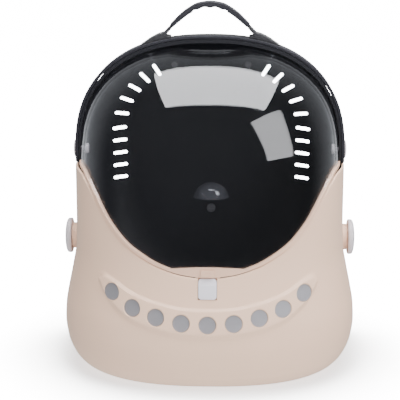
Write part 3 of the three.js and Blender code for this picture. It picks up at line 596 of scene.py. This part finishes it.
wire = woven_wire()
tape = woven_tape("black_tape", (0.016, 0.016, 0.019))
pad_cloth = air_cloth("pad_cloth", (0.014, 0.014, 0.016))
strap_cloth = plain_cloth("strap_cloth", (0.017, 0.017, 0.02))
print("cloths ready:", len(bpy.data.materials), "materials")


def dress(piece, material, body="carrier", stands_for=()):
    """Gives a piece its finish and its body, and hides the CAD nodes that it stands for."""
    piece.data.materials.clear()
    piece.data.materials.append(material)
    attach(piece, body)
    if stands_for:
        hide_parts(*([stands_for] if isinstance(stands_for, str) else stands_for))
    return piece


def soften(node, width, material):
    """Rounds the edges of a CAD piece that stays as it is, and gives it its finish."""
    step = node.modifiers.new("round", "BEVEL")
    step.width, step.segments, step.limit_method = width * MM, 2, "ANGLE"
    node.data.materials.clear()
    node.data.materials.append(material)


# %% [markdown]
# ## Lower shell
# The real shell is one moulding: a rounded tub that swells towards its base, with a lip that rises in a V
# to the hinges and a raised band in the shape of a smile. It is a grid of points, round the shell and up
# it. Each column ends at the lip, so the lip is a clean rolled edge and needs no cut. The band is a push
# outwards.

# %% Lower shell
def lower_shell():
    turn = np.linspace(0, 360, 400, endpoint=False)
    lip = lip_height(turn)
    square = lip_height(turn, 1) - lip

    def ring(height, grow, banded=True):
        radius = shell_radius(turn, height, grow)
        if banded:
            x = radius * np.sin(np.radians(turn))
            front = ease((np.cos(np.radians(turn)) - 0.05) / 0.2)
            radius = radius + BAND_RISE * band_share(x, height) * front
        return on_turn(turn, radius, height)

    shares = np.linspace(0, 1, 120) ** 1.25
    edge = lip - 1.4 * square
    rings = [ring(edge * share, 0) for share in shares]
    for inward, drop in ((.12, .9), (.4, .4), (.8, .1), (1.4, 0), (2, .1), (2.4, .4), (2.68, .9)):
        rings.append(ring(lip - drop * square, -inward, False))
    shares = 1 - (1 - np.linspace(1, 0, 60)) ** 1.1
    rings += [ring(SHELL_WALL + (edge - SHELL_WALL) * share, -SHELL_WALL, False) for share in shares]
    return skin("lower_shell", rings)


shell = lower_shell()
housing = block((-pocket_half - SHELL_WALL, -SHELL_FRONT, button_low - BUTTON_GAP - SHELL_WALL),
                (pocket_half + SHELL_WALL, pocket_floor + SHELL_WALL, button_top - 0.2))
cross(housing, shell_body(-1, 2, HOOP_END))
join(shell, housing)
cut(shell, block((-pocket_half, -FAR, button_low - BUTTON_GAP), (pocket_half, pocket_floor, HINGE)))
print("lower shell:", len(shell.data.polygons), "faces")

# %% Vents
VENT_RADIUS, VENT_COUNT, VENT_TURN, VENT_AXIS_SHARE = 9.7, 9, 10.3, 0.4
MESH_THICK, MESH_DEPTH = 1.2, 1.6
FLARE = [(0, -1.6), (9.3, -1.6), (9.75, -1.1), (10.05, -0.6), (10.5, -0.2), (11.1, 0), (11.6, 0.4), (0, 0.4)]


def wall_at(x, z):
    """The depth of the shell's front at a place."""
    half, front = SHELL_WIDTH / 2 * float(width_at(z / HINGE)), SHELL_FRONT * float(front_at(z / HINGE))
    return -front * (1 - abs(x / half) ** SHELL_POWER) ** (1 / SHELL_POWER)


def unit(vector):
    return np.array(vector, float) / np.linalg.norm(vector)


for i in range(VENT_COUNT):
    most = (VENT_COUNT - 1) / 2
    x = smile_half * math.sin(math.radians(VENT_TURN * (i - most))) / math.sin(math.radians(VENT_TURN * most))
    z = float(smile_at(x))
    place = np.array([x, wall_at(x, z), z])
    steep = (wall_at(x + 1, z) - wall_at(x - 1, z)) / 2
    out = unit([steep, -1, (wall_at(x, z + 1) - wall_at(x, z - 1)) / 2])
    bore = math.atan(steep) * VENT_AXIS_SHARE
    axis = (math.sin(bore), -math.cos(bore), 0)
    cut(shell, drum(VENT_RADIUS, SHELL_WALL * 8, place, axis, 72))
    cut(shell, lathe("flare", FLARE, out, place + out * BAND_RISE, 72))
    disc = drum(VENT_RADIUS - SEAT_GAP, SHELL_WALL * 8, place, axis, 72)
    depth = BAND_RISE - MESH_DEPTH - MESH_THICK / 2
    cross(disc, drum(VENT_RADIUS * 2, MESH_THICK, place + out * depth, out, 12))
    disc.name = f"vent_wire_{i + 1}"
    dress(shade(disc), wire, stands_for=f"vent_mesh_{i + 1}")
dress(shade(shell), cream, stands_for="base_shell")
print("vents:", VENT_COUNT, "and the shell has", len(shell.data.polygons), "faces")

# %% Knobs
KNOB_HEIGHT, BOSS_OUT, CAP_OUT = HINGE - 107, 6.5, 8.5
BOSS = [(0, -4), (16.6, -4), (16.6, 0), (15.9, .9), (15.5, 2.2), (15.5, 5.7), (15.2, 6.3), (14.6, BOSS_OUT),
        (0, BOSS_OUT)]
CAP = [(0, 0), (19.6, 0), (20.5, .3), (21, 1.1), (21, 3.6), (20.8, 4.6), (20.2, 5.5), (19, 6.3), (17, 7),
       (14, 7.6), (10, 8.1), (5, 8.4), (0, CAP_OUT)]
for side, word in ((-1, "left"), (1, "right")):
    out = (side, 0, 0)
    base = lathe(f"knob_boss_{word}", BOSS, out, (side * NECK_HALF, 0, KNOB_HEIGHT), 96)
    dress(shade(base, 50), cream)
    seat = side * (NECK_HALF + BOSS_OUT + SEAT_GAP)
    face = lathe(f"knob_cap_{word}_face", CAP, out, (seat, 0, KNOB_HEIGHT), 96)
    dress(shade(face, 50), knob_grey, stands_for=f"knob_cap_{word}")
print("knobs stand out to, mm:", round(NECK_HALF + BOSS_OUT + SEAT_GAP + CAP_OUT, 1))

# %% [markdown]
# ## Latch
# The latch is a press button in a pocket in the middle of the lip. It is a block whose face leans back
# above a crease, with soft edges. The slot plate that it catches is the keeper on the bubble's trim.

# %% Latch button
button_back = button_face + BUTTON["depth"]
crease = button_low + BUTTON["height"] * BUTTON["crease"]
lean = -float(shell_radius(0, button_top)) + float(shell_radius(0, button_low))


def face_at(height):
    return button_face + lean * (height - button_low) / BUTTON["height"]


profile = [(button_back, button_low), (button_back, button_top),
           (face_at(button_top) + BUTTON["slope"], button_top),
           (face_at(crease), crease), (face_at(button_low), button_low)]
button = front_slab(rounded_box(BUTTON["width"] / 2, button_low, button_top, 3.4), -FAR, 0, "latch_face")
cross(button, slab(profile, -FAR, FAR, 0))
dress(round_edges(button, 0.7, 3, 20), latch_grey, "latch", "latch_button")
print("latch is", BUTTON["width"], "by", BUTTON["height"], "mm")

# %% [markdown]
# ## Back shell
# The black back shell is a deep tray. Its rim stands inside the cream shell and lines it, and one big
# fillet leads from its sides to the flat back wall. It is made of two skins, an outer and an inner one,
# over rings that shrink round the fillet, and the slots are cut through it.

# %% Back shell
FLAT_HALF = (LINING_HALF - LINING_WALL) * 0.655
FLAT_UP, FLAT_DOWN = LINING_UP * 0.8, LINING_DOWN * 0.74
BOTTOM_POWER, FLAT_BOTTOM_POWER, FILLET_START = 5, 2.1, 0.15
LINING_BELOW_LIP = 9


def arch_point(turn, half, up, fall, top_power, bottom_power):
    c, s = np.cos(turn), np.sin(turn)
    share = 2 / np.where(s >= 0, top_power, bottom_power)
    height = np.where(s >= 0, up, fall) * np.sign(s) * np.abs(s) ** share
    return half * np.sign(c) * np.abs(c) ** share, height


def lining_body(grow, front, around=256, steps=22):
    tau = np.linspace(0, 2 * math.pi, around, endpoint=False)
    turn = tau - 0.23 * np.sin(4 * tau)
    x1, z1 = arch_point(turn, LINING_HALF - LINING_WALL + grow, LINING_UP + (RIM_FLANGE if grow else 0),
                        LINING_DOWN + grow, ARCH_POWER, BOTTOM_POWER)
    x2, z2 = arch_point(turn, FLAT_HALF, FLAT_UP, FLAT_DOWN, ARCH_POWER, FLAT_BOTTOM_POWER)
    start = LINING_DEPTH * FILLET_START
    deep = LINING_DEPTH + grow - start
    spots = [(1, front), (1, (front + start) / 2)]
    for i in range(steps + 1):
        bend = math.pi / 2 * i / steps
        spots.append((math.cos(bend), start + deep * math.sin(bend)))
    rings = [np.stack([x2 + (x1 - x2) * share, np.full(around, depth), HINGE + z2 + (z1 - z2) * share], -1)
             for share, depth in spots]
    return skin("lining", rings)


reach = -SHELL_FRONT * 1.2
lined = shell_body(-SHELL_WALL - SEAT_GAP, SHELL_WALL + SEAT_GAP, HOOP_END)
tray = cut(cross(lining_body(LINING_WALL, reach), lined), above_lip(-LINING_BELOW_LIP))
join(tray, lining_body(LINING_WALL, -HOOP_FRONT))
core = shell_body(-SHELL_WALL - SEAT_GAP - LINING_WALL, SHELL_WALL * 3, HOOP_END * 2)
cut(tray, lining_body(0, -HOOP_FRONT * 1.5), cross(lining_body(0, reach), core))
room = SHELL_WALL + SEAT_GAP * 2
cut(tray, block((-pocket_half - room, -FAR, button_low - BUTTON_GAP - room),
                (pocket_half + room, pocket_floor + room, HINGE)))
angles = np.linspace(0, math.pi, 60)[1:-1]
band_x = np.cos(angles) * band_half
band_reach = np.sqrt(1 - (band_x / band_half) ** BAND_END) * (BAND_ABOVE + BAND_BELOW) / 2
band_middle = smile_at(band_x) + (BAND_ABOVE - BAND_BELOW) / 2
window = [*zip(band_x, band_middle + band_reach), *zip(band_x[::-1], (band_middle - band_reach)[::-1])]
cut(tray, front_slab(window, -FAR, -SHELL_FRONT / 4))
print("back shell:", len(tray.data.polygons), "faces")

# %% Air slots
SLOT_LENGTH, SLOT_WIDTH = 17.5, 4.6
slots = [(.452, .65, 57), (.552, .574, 46), (.636, .47, 31), (.702, .353, 21), (.744, .214, 8),
         (.764, .066, -4), (.762, -.061, -3), (.76, -.189, -3), (.76, -.315, -3), (.76, -.441, -3)]
ends = np.radians(np.concatenate([np.linspace(-90, 90, 13), np.linspace(90, 270, 13)]))
straight = np.where(np.arange(26) < 13, 1, -1) * (SLOT_LENGTH - SLOT_WIDTH) / 2
pill = np.stack([straight + SLOT_WIDTH / 2 * np.cos(ends), SLOT_WIDTH / 2 * np.sin(ends)], -1)
for side in (-1, 1):
    for across, rise, tilt in slots:
        tilt = math.radians(side * tilt)
        turned = pill @ np.array([[math.cos(tilt), math.sin(tilt)], [-math.sin(tilt), math.cos(tilt)]])
        cut(tray, front_slab(turned + [side * across * DOME_HALF, HINGE + rise * DOME_RISE],
                             LINING_DEPTH * FILLET_START, LINING_BACK * 1.2))
    cut(tray, drum(PIN_BORE, SHELL_WIDTH / 4, (side * DOME_HALF, 0, HINGE), (1, 0, 0), 32))
tray.name = "back_tray"
dress(shade(tray), black, stands_for="back_shell")
print("air slots:", 2 * len(slots))

# %% [markdown]
# ## Hoop
# A soft black band wraps the joint between the back shell and the bubble and ends above the cream shell.
# Its section is a thin rectangle with rounded corners, swept along the arch.

# %% Hoop
def hoop():
    turns = np.linspace(0, math.pi, 221)
    turns = turns - 0.2 * np.sin(4 * turns)
    section, corner, steps = [], 0.9, 4
    near, far, outer = corner - HOOP_FRONT, HOOP_WIDTH - HOOP_FRONT - corner, HOOP_WALL - corner
    for quarter, (g, y) in enumerate(((outer, far), (corner, far), (corner, near), (outer, near))):
        for i in range(steps + 1):
            bend = (quarter + i / steps) * math.pi / 2
            section.append((g + corner * math.cos(bend), y + corner * math.sin(bend)))
    rows = []
    for g, y in section:
        x, z = arch_point(turns, HOOP_HALF + g, HOOP_UP + g, LINING_DOWN, ARCH_POWER, BOTTOM_POWER)
        x = np.concatenate([[x[0]], x, [x[-1]]])
        z = np.concatenate([[HOOP_END - HINGE], z, [HOOP_END - HINGE]])
        rows.append(np.stack([x, np.full(len(x), y), z + HINGE], -1))
    return skin("rim_band", np.array(rows).transpose(1, 0, 2))


band = hoop()
for side in (-1, 1):
    cut(band, drum(PIN_BORE, SHELL_WIDTH / 4, (side * DOME_HALF, 0, HINGE), (1, 0, 0), 32))
dress(round_edges(band, 0.5, 2, 60), rubber, stands_for="rim_hoop")
print("hoop top, mm:", round(HINGE + HOOP_UP + HOOP_WALL, 1))

# %% [markdown]
# ## Bubble
# The bubble turns about the line through its hinges, so most of it is a surface of revolution with squared
# shoulders. Its front grows outwards to meet the cream lip. It has an outer and an inner skin, because
# light has to bend at both, and it is cut along the lip.

# %% Bubble and its trim
swell_at = curve_through((-180, 0), (25, 0), (60, .054), (80, .149), (95, .244), (108, .42), (120, .744),
                         (131, 1.15), (142, 1.678), (180, .812))
DOME_START, DOME_FLARE = 100, 3.5
flare_at = curve_through((-180, 0), (60, 0), (80, .35), (95, .75), (108, 1), (142, 1), (180, .5))


def bubble_body(inset, turns=180, across=110):
    turn = np.linspace(-180, 180, turns, endpoint=False)
    angle = np.linspace(0, math.pi, across + 1)[1:-1]
    angle = angle - 0.35 * np.sin(2 * angle) / 2
    share = 2 / ARCH_POWER
    rings = []
    for a in angle:
        rise = math.sin(a) ** share
        along = -math.copysign(abs(math.cos(a)) ** share, math.cos(a))
        radius = (DOME_RISE + swell_at(turn) * (SHELL_FRONT - DOME_START) - inset) * rise
        x = along * (DOME_HALF - inset + DOME_FLARE * flare_at(turn) * rise)
        rings.append(np.stack([x, -radius * np.sin(np.radians(turn)),
                               HINGE + radius * np.cos(np.radians(turn))], -1))
    return skin("bubble_space", rings, ([inset - DOME_HALF, 0, HINGE], [DOME_HALF - inset, 0, HINGE]))


PLATE_HALF, PLATE_HEIGHT, TRIM_WIDTH, TRIM_PROUD = 43, 13, 3.4, 1.6
TRIM_END, DOME_END, EAR_RADIUS = 22, 5, 10.5


def plate_slab(grow):
    u = np.linspace(1, -1, 41)
    height = button_top + PLATE_HEIGHT + grow - PLATE_HEIGHT / 5 * u**2
    upper = np.stack([u * (PLATE_HALF + grow), height], -1)
    outline = [*upper, (-PLATE_HALF - grow, button_top / 2), (PLATE_HALF + grow, button_top / 2)]
    return front_slab(outline, -FAR, -SHELL_FRONT / 2)


trim_zone = cross(cut(above_lip(LIP_GAP), above_lip(LIP_GAP + TRIM_WIDTH)),
                  block((-FAR, -FAR, -FAR), (FAR, -TRIM_END, FAR)))
join(trim_zone, cross(above_lip(LIP_GAP), plate_slab(0)))
trim = cross(cut(bubble_body(-TRIM_PROUD), bubble_body(DOME_WALL)), trim_zone)
trim.name = "bubble_trim"
dress(shade(trim, 40), shaded_cream_trim, "visor", "dome_trim")

bubble = cut(bubble_body(0), bubble_body(DOME_WALL))
zone = cross(above_lip(LIP_GAP + TRIM_WIDTH + SEAT_GAP), block((-FAR, -FAR, -FAR), (FAR, DOME_END, FAR)))
join(zone, drum(EAR_RADIUS, FAR, (0, 0, HINGE), (1, 0, 0), 48))
cut(cross(bubble, zone), plate_slab(SEAT_GAP), drum(PIN_BORE, FAR, (0, 0, HINGE), (1, 0, 0), 32))
bubble.name = "bubble"
dress(shade(bubble, 40), bubble_clear, "visor", "dome")
print("bubble:", len(bubble.data.polygons), "faces, trim:", len(trim.data.polygons))

# %% Keeper on the trim
soften(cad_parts["keeper_tab"], 0.2, shaded_cream_trim)
print("keeper dressed")

# %% [markdown]
# ## Hinge rivets, hood and screws
# Turned pieces: each is a profile spun round its axis. The cross slots of the screws are cut by two small
# blocks.

# %% Rivets
for side, word in ((-1, "left"), (1, "right")):
    outer = HOOP_HALF + HOOP_WALL + SEAT_GAP
    inner = DOME_HALF - DOME_WALL - SEAT_GAP * 2 - 4
    shaft = outer - inner
    turned = [(0, 0), (5.2, 0), (5.8, .3), (6, .9), (6, 3.6), (5.7, 4), (2.6, 4), (2.6, shaft), (10.6, shaft),
              (11, shaft + .4), (10.7, shaft + .9), (9.6, shaft + 1.5), (7.5, shaft + 2.1), (4, shaft + 2.5),
              (0, shaft + 2.6)]
    rivet = lathe(f"hinge_rivet_{word}", turned, (side, 0, 0), (side * inner, 0, HINGE), 64)
    dress(shade(rivet, 45), knob_grey, stands_for=f"pivot_rivet_{word}")
print("rivets reach, mm:", round(outer + 2.6, 1))


# %% Hood and screws on the back wall
HOOD_BASE, HOOD_LIP, HOOD_PROUD, HOOD_WALL = HINGE - 81.5, 2.2, 1.2, 1.6
HOOD_SIZE = np.array([22, 17, 19.5])
WALL_FACE = LINING_DEPTH - SEAT_GAP


def hood_body(inset):
    """A ball squeezed to the hood's size."""
    rows, around = 48, 96
    lat = np.linspace(-math.pi / 2, math.pi / 2, rows + 2)[1:-1]
    lon = np.linspace(0, 2 * math.pi, around, endpoint=False)
    ball = [np.stack([np.cos(a) * np.cos(lon), np.cos(a) * np.sin(lon), np.full(around, math.sin(a))], -1)
            for a in lat]
    return skin("hood_space", [ring * (HOOD_SIZE - inset) + [0, WALL_FACE, HOOD_BASE] for ring in ball])


hood = cross(hood_body(0), block((-FAR, -FAR, HOOD_BASE), (FAR, WALL_FACE, FAR)))
lip_room = block((-FAR, -FAR, HOOD_BASE), (FAR, WALL_FACE, HOOD_BASE + HOOD_LIP))
join(hood, cross(hood_body(-HOOD_PROUD), lip_room))
cut(hood, hood_body(HOOD_WALL))
hood.name = "air_hood_cover"
dress(round_edges(hood, 0.5, 3, 40), hood_clear, stands_for="air_hood")


def wall_screw(name, radius, thick, x, height, node):
    profile = [(0, 0), (radius, 0), (radius, thick * 0.5), (radius * 0.92, thick * 0.8),
               (radius * 0.7, thick), (0, thick)]
    screw = lathe(name, profile, (0, -1, 0), (x, WALL_FACE, height), 48)
    slot, bar = radius * 0.55, radius * 0.16
    for wide, high in ((slot, bar), (bar, slot)):
        cut(screw, block((x - wide, -FAR, height - high), (x + wide, WALL_FACE - thick / 2, height + high)))
    return dress(shade(screw), screw_black, stands_for=node)


wall_screw("hood_screw_head", 5.6, 2, 0, HINGE - 95.5, "hood_screw")
for side, word in ((-1, "left"), (1, "right")):
    wall_screw(f"wall_screw_head_{word}", 4, 1.4, side * 46, HINGE + 88, f"wall_screw_{word}")
print("hood and screws made")

# %% [markdown]
# ## Carry handle
# The grip is a thick arch of soft plastic with finger scallops below. Folded webbing runs from each end to
# the hoop, where it is sewn under a small tab.

# %% Handle
GRIP = {"half": 46.5, "above_hoop": 38.9, "arch": 26.6, "thick": 7, "width": 26, "scallop": 1.4, "count": 3,
        "scallop_half": 23.25}
grip_peak = HINGE + HOOP_UP + HOOP_WALL + GRIP["above_hoop"]
grip_rise = curve_through((0, 1), (.3, .925), (.54, .715), (.73, .47), (.87, .235), (1, 0), (1.15, -.3))
grip_thick = curve_through((0, 1), (.3, .96), (.54, .9), (.73, .86), (.87, .76), (1, .65), (1.15, .6))
handle_near = -HOOP_FRONT + (HOOP_WIDTH - GRIP["width"]) / 2


def grip_top(x):
    return grip_peak - GRIP["arch"] * (1 - grip_rise(np.abs(x) / GRIP["half"]))


def grip_away(x):
    """The direction square to the grip's top, downwards."""
    slope = (grip_top(x + 1) - grip_top(x - 1)) / 2
    length = np.sqrt(1 + slope**2)
    return np.stack([slope / length, -1 / length], -1)


x = np.linspace(GRIP["half"], -GRIP["half"], 161)
wave = np.cos(math.pi * x * GRIP["count"] / GRIP["scallop_half"]) - 1
wave = np.where(np.abs(x) < GRIP["scallop_half"], wave, 0)
thick = GRIP["thick"] * grip_thick(np.abs(x) / GRIP["half"]) + GRIP["scallop"] * wave / 2
upper = np.stack([x, grip_top(x)], -1)
lower = upper + grip_away(x) * thick[:, None]
grip = front_slab([*upper, *lower[::-1]], handle_near, handle_near + GRIP["width"], "handle_grip_body")
dress(round_edges(grip, 1.6, 4, 50), grip_rubber, stands_for="handle_grip")
print("grip peak, mm:", round(grip_peak, 1))

# %% Handle straps
TAB_ROWS = [(45.6, 1.5), (51.3, 3.6), (54.2, 7.2), (57, 7), (69.5, 4.5), (80.7, 1)]
WEB_THICK, WEB_INSET = 3.3, 1


def on_hoop(x, cover):
    half, up = HOOP_HALF + HOOP_WALL + SEAT_GAP, HOOP_UP + HOOP_WALL + SEAT_GAP
    return x, HINGE + up * (1 - (x / half) ** ARCH_POWER) ** (1 / ARCH_POWER) + cover


away = grip_away(np.array(GRIP["half"]))
along = np.array([-away[1], away[0]])
start = np.array([GRIP["half"], float(grip_top(GRIP["half"]))]) + away * WEB_INSET + along * SEAT_GAP * 2
cover = curve_through(*TAB_ROWS[3:])
for side, word in ((-1, "left"), (1, "right")):
    outline = [on_hoop(x, 0) for x in np.linspace(TAB_ROWS[0][0], TAB_ROWS[-1][0], 25)]
    outline += [on_hoop(x, float(cover(x))) for x in np.linspace(TAB_ROWS[-1][0], TAB_ROWS[3][0], 15)]
    outline += [on_hoop(*TAB_ROWS[2]), tuple(start), tuple(start + away * WEB_THICK)]
    outline += [on_hoop(*TAB_ROWS[1]), on_hoop(*TAB_ROWS[0])]
    tab = front_slab([(side * a, b) for a, b in outline], handle_near, handle_near + GRIP["width"],
                     f"handle_strap_{word}")
    dress(round_edges(tab, 0.6, 3, 40), strap_cloth, stands_for=f"handle_tab_{word}")
print("handle tabs made")

# %% [markdown]
# ## Carrying side
# The wearer's side has a padded panel and two shoulder straps. A strap is a foam ribbon in cloth with bound
# edges, then a buckle, then plain webbing that is sewn to the shell. None of it shows in the photo, so its
# layout is that of a usual rucksack.

# %% Routes of the straps
def smooth_route(rows, count):
    """Points on a smooth curve through rows of (across, back, rise), evenly spread between the rows."""
    spots = np.array([(a, LINING_BACK + b, HINGE + c) for a, b, c in rows], float)
    spots = np.vstack([2 * spots[0] - spots[1], spots, 2 * spots[-1] - spots[-2]])
    points = []
    for share in np.linspace(0, len(rows) - 1, count):
        i = min(int(share), len(rows) - 2)
        t = share - i
        p0, p1, p2, p3 = spots[i:i + 4]
        d0, d1, d2 = (max(np.linalg.norm(b - a), 1e-4) ** 0.5 for a, b in ((p0, p1), (p1, p2), (p2, p3)))
        m1 = ((p1 - p0) / d0 - (p2 - p0) / (d0 + d1) + (p2 - p1) / d1) * d1
        m2 = ((p2 - p1) / d1 - (p3 - p1) / (d1 + d2) + (p3 - p2) / d2) * d1
        points.append((2 * t**3 - 3 * t**2 + 1) * p1 + (t**3 - 2 * t**2 + t) * m1
                      + (3 * t**2 - 2 * t**3) * p2 + (t**3 - t**2) * m2)
    return np.array(points)


def ribbon(name, rows, side, section, count=90):
    """A ribbon along a route. Its section is a list of (across, out) points."""
    route = smooth_route(rows, count)
    along = np.gradient(route, axis=0)
    along /= np.linalg.norm(along, axis=1)[:, None]
    across = np.array([1, 0, 0]) - along * along[:, :1]
    across /= np.linalg.norm(across, axis=1)[:, None]
    out = np.cross(along, across)
    section = np.array(section)
    rings = route[:, None] + section[None, :, :1] * across[:, None] + section[None, :, 1:] * out[:, None]
    rings[..., 0] *= side
    piece = skin(name, rings)
    lengths = np.concatenate([[0], np.cumsum(np.linalg.norm(np.diff(route, axis=0), axis=1))])
    spread = np.stack(np.broadcast_arrays(section[None, :, 0], lengths[:, None]), -1).reshape(-1, 2)
    shares = np.vstack([spread, [[0, lengths[0]], [0, lengths[-1]]]]) * MM
    layer = piece.data.uv_layers.new(name="along")
    loops = np.array([loop.vertex_index for loop in piece.data.loops])
    layer.data.foreach_set("uv", shares[loops].astype(np.float32).ravel())
    return piece


def oval(width, thick, power=4, count=40, crown=0.0):
    """A flat rounded section, with an outside that swells by a crown."""
    turn = np.linspace(0, 2 * math.pi, count, endpoint=False)
    c, s = np.cos(turn), np.sin(turn)
    a = width / 2 * np.sign(c) * np.abs(c) ** (2 / power)
    b = thick / 2 * np.sign(s) * np.abs(s) ** (2 / power)
    return np.stack([a, b * (1 + crown * (1 - (2 * a / width) ** 2))], -1)


STRAP = [(40, 21.5, 30), (40, 22, 46), (42, 31, 59), (46, 43, 49), (52, 50, 14), (60, 49, -34),
         (67, 41, -72), (70, 36, -88.8)]
WEB = [(72, 29.5, -114.8), (77, 21, -136), (83.5, 11, -156), (87.5, 7.4, -165), (87.5, 7.4, -174.4)]
for side, word in ((-1, "left"), (1, "right")):
    strap = ribbon(f"shoulder_strap_{word}", STRAP, side, oval(54, 10, 3.2, 48))
    dress(shade(strap, 60), strap_cloth, stands_for=f"shoulder_pad_{word}")
    web = ribbon(f"strap_tape_{word}", WEB, side, oval(25, 2.2, 6, 24))
    dress(shade(web, 60), tape, stands_for=f"strap_web_{word}")
print("straps made")

# %% Back pad
PAD_THICK = 12
PAD_ROWS = ((1, 0), (1, .25), (.995, .5), (.985, .72), (.965, .88), (.93, .97), (.88, 1), (.8, 1), (.65, 1),
            (.45, 1), (.2, 1))
pad_outline = np.array(rounded_box(88, HINGE - 112, HINGE + 62, 26, 16))
pad_middle = np.array([0, HINGE - 25])
pad_rings = []
for share, depth in PAD_ROWS:
    ring = pad_middle + (pad_outline - pad_middle) * share
    deep = np.full(len(ring), LINING_BACK + SEAT_GAP + PAD_THICK * depth)
    pad_rings.append(np.stack([ring[:, 0], deep, ring[:, 1]], -1))
back_pad = skin("back_cushion", pad_rings)
dress(shade(back_pad, 60), pad_cloth, stands_for="back_pad")
print("back pad made")

# %% Small sewn pieces and buckles
for node, material in (("top_anchor", strap_cloth), ("low_anchor_left", strap_cloth),
                       ("low_anchor_right", strap_cloth), ("strap_slide_left", buckle_black),
                       ("strap_slide_right", buckle_black)):
    soften(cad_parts[node], 0.6, material)
print("sewn pieces dressed")

# %% [markdown]
# ## Studio
# A pale floor that rises into a round wall, far out, and soft lights. Where the boxes stand was worked out
# by mirroring the camera's rays off the bubble at the corners of each bright patch in the photo: a wide box
# hangs flat overhead and a tall one stands at the front right. The wall and the floor glow, so they look
# white, but they don't light the object. Near the base their glow is dimmed by ambient occlusion, which is a
# painted shadow. A wide lamp in front, which leaves no mirror image, stands in for their fill.

# %% Floor and wall
def sweep(radius=9.0, bend=2.0, height=8.0, around=96):
    """A round floor that curves up into a wall."""
    rows = [(0.6, 0), (3, 0), (radius - bend, 0)]
    rows += [(radius - bend + bend * math.sin(t), bend - bend * math.cos(t))
             for t in np.linspace(0.2, math.pi / 2, 8)]
    rows.append((radius, height))
    turns = np.linspace(0, 2 * math.pi, around, endpoint=False)
    points = [(0, 0, 0)] + [(r * math.cos(t), r * math.sin(t), z) for r, z in rows for t in turns]
    faces = [(0, 1 + i, 1 + (i + 1) % around) for i in range(around)]
    for k in range(len(rows) - 1):
        for i in range(around):
            j, low, high = (i + 1) % around, 1 + k * around, 1 + (k + 1) * around
            faces.append((low + i, high + i, high + j, low + j))
    mesh = bpy.data.meshes.new("floor")
    mesh.from_pydata(points, [], faces)
    mesh.shade_smooth()
    made = bpy.data.objects.new("floor", mesh)
    bpy.context.scene.collection.objects.link(made)
    return made


floor = sweep()
paper = Finish("paper", roughness=0.9, specular_ior_level=0.0, emission_strength=16.0)
# The glow is dimmed where ambient occlusion finds the object close by: a painted shadow round the base.
near = paper.node("ShaderNodeAmbientOcclusion", {"samples": 16}, {"Distance": 0.16}, output="AO")
out_of_painted_shadow = near.between(0.45, 1.0)
paper.feed(base_color=paper.blend(paper.noise(3, 2), (0.86, 0.86, 0.86), (0.9, 0.9, 0.9)),
           emission_color=paper.blend(out_of_painted_shadow ** 1.5, (0.09, 0.09, 0.092), (1, 1, 1)))
paper.material.cycles.emission_sampling = "NONE"
floor.data.materials.append(paper.material)
floor.visible_diffuse = False
floor.visible_glossy = False
print("floor ready")

# %% World
world = bpy.context.scene.world or bpy.data.worlds.new("studio")
bpy.context.scene.world = world
world.use_nodes = True
sky = Finish.__new__(Finish)
sky.tree = world.node_tree
sky.tree.nodes.clear()
background = sky.tree.nodes.new("ShaderNodeBackground")
sky.tree.links.new(background.outputs[0], sky.tree.nodes.new("ShaderNodeOutputWorld").inputs["Surface"])
_, behind, _ = sky.parts(sky.node("ShaderNodeTexCoord", output="Generated"))
level = behind.between(-0.1, 0.5) * 0.4 + behind.between(0.72, 1.0) * 0.9 + 0.1
sky.plug(background.inputs["Color"], (0.93, 0.96, 1.0))
sky.plug(background.inputs["Strength"], level)
print("world ready")


# %% Lamps
def softbox(name, place, target, width, height, radiance, mirrored=True):
    light = bpy.data.lights.new(name, "AREA")
    light.shape, light.size, light.size_y = "RECTANGLE", width, height
    light.energy = radiance * math.pi * width * height
    lamp = bpy.data.objects.new(name, light)
    lamp.location = place
    lamp.rotation_euler = (Vector(target) - Vector(place)).to_track_quat("-Z", "Y").to_euler()
    lamp.visible_camera = False
    lamp.visible_glossy = mirrored
    bpy.context.scene.collection.objects.link(lamp)
    return lamp


softbox("top_box", (0.11, -0.17, 1.5), (0.11, -0.16, 0), 1.32, 1.1, 12)
softbox("right_box", (1.12, -1.045, 1.06), (0.07, -0.11, 0.29), 0.85, 1.18, 6)
softbox("front_fill", (0.3, -2.6, 0.5), (0, 0, 0.2), 3.0, 1.5, 4, mirrored=False)
softbox("floor_bounce", (0.1, -0.7, 0.01), (0.1, -0.68, 1), 2.6, 1.6, 1.6, mirrored=False)
print("lights:", len(bpy.data.lights))
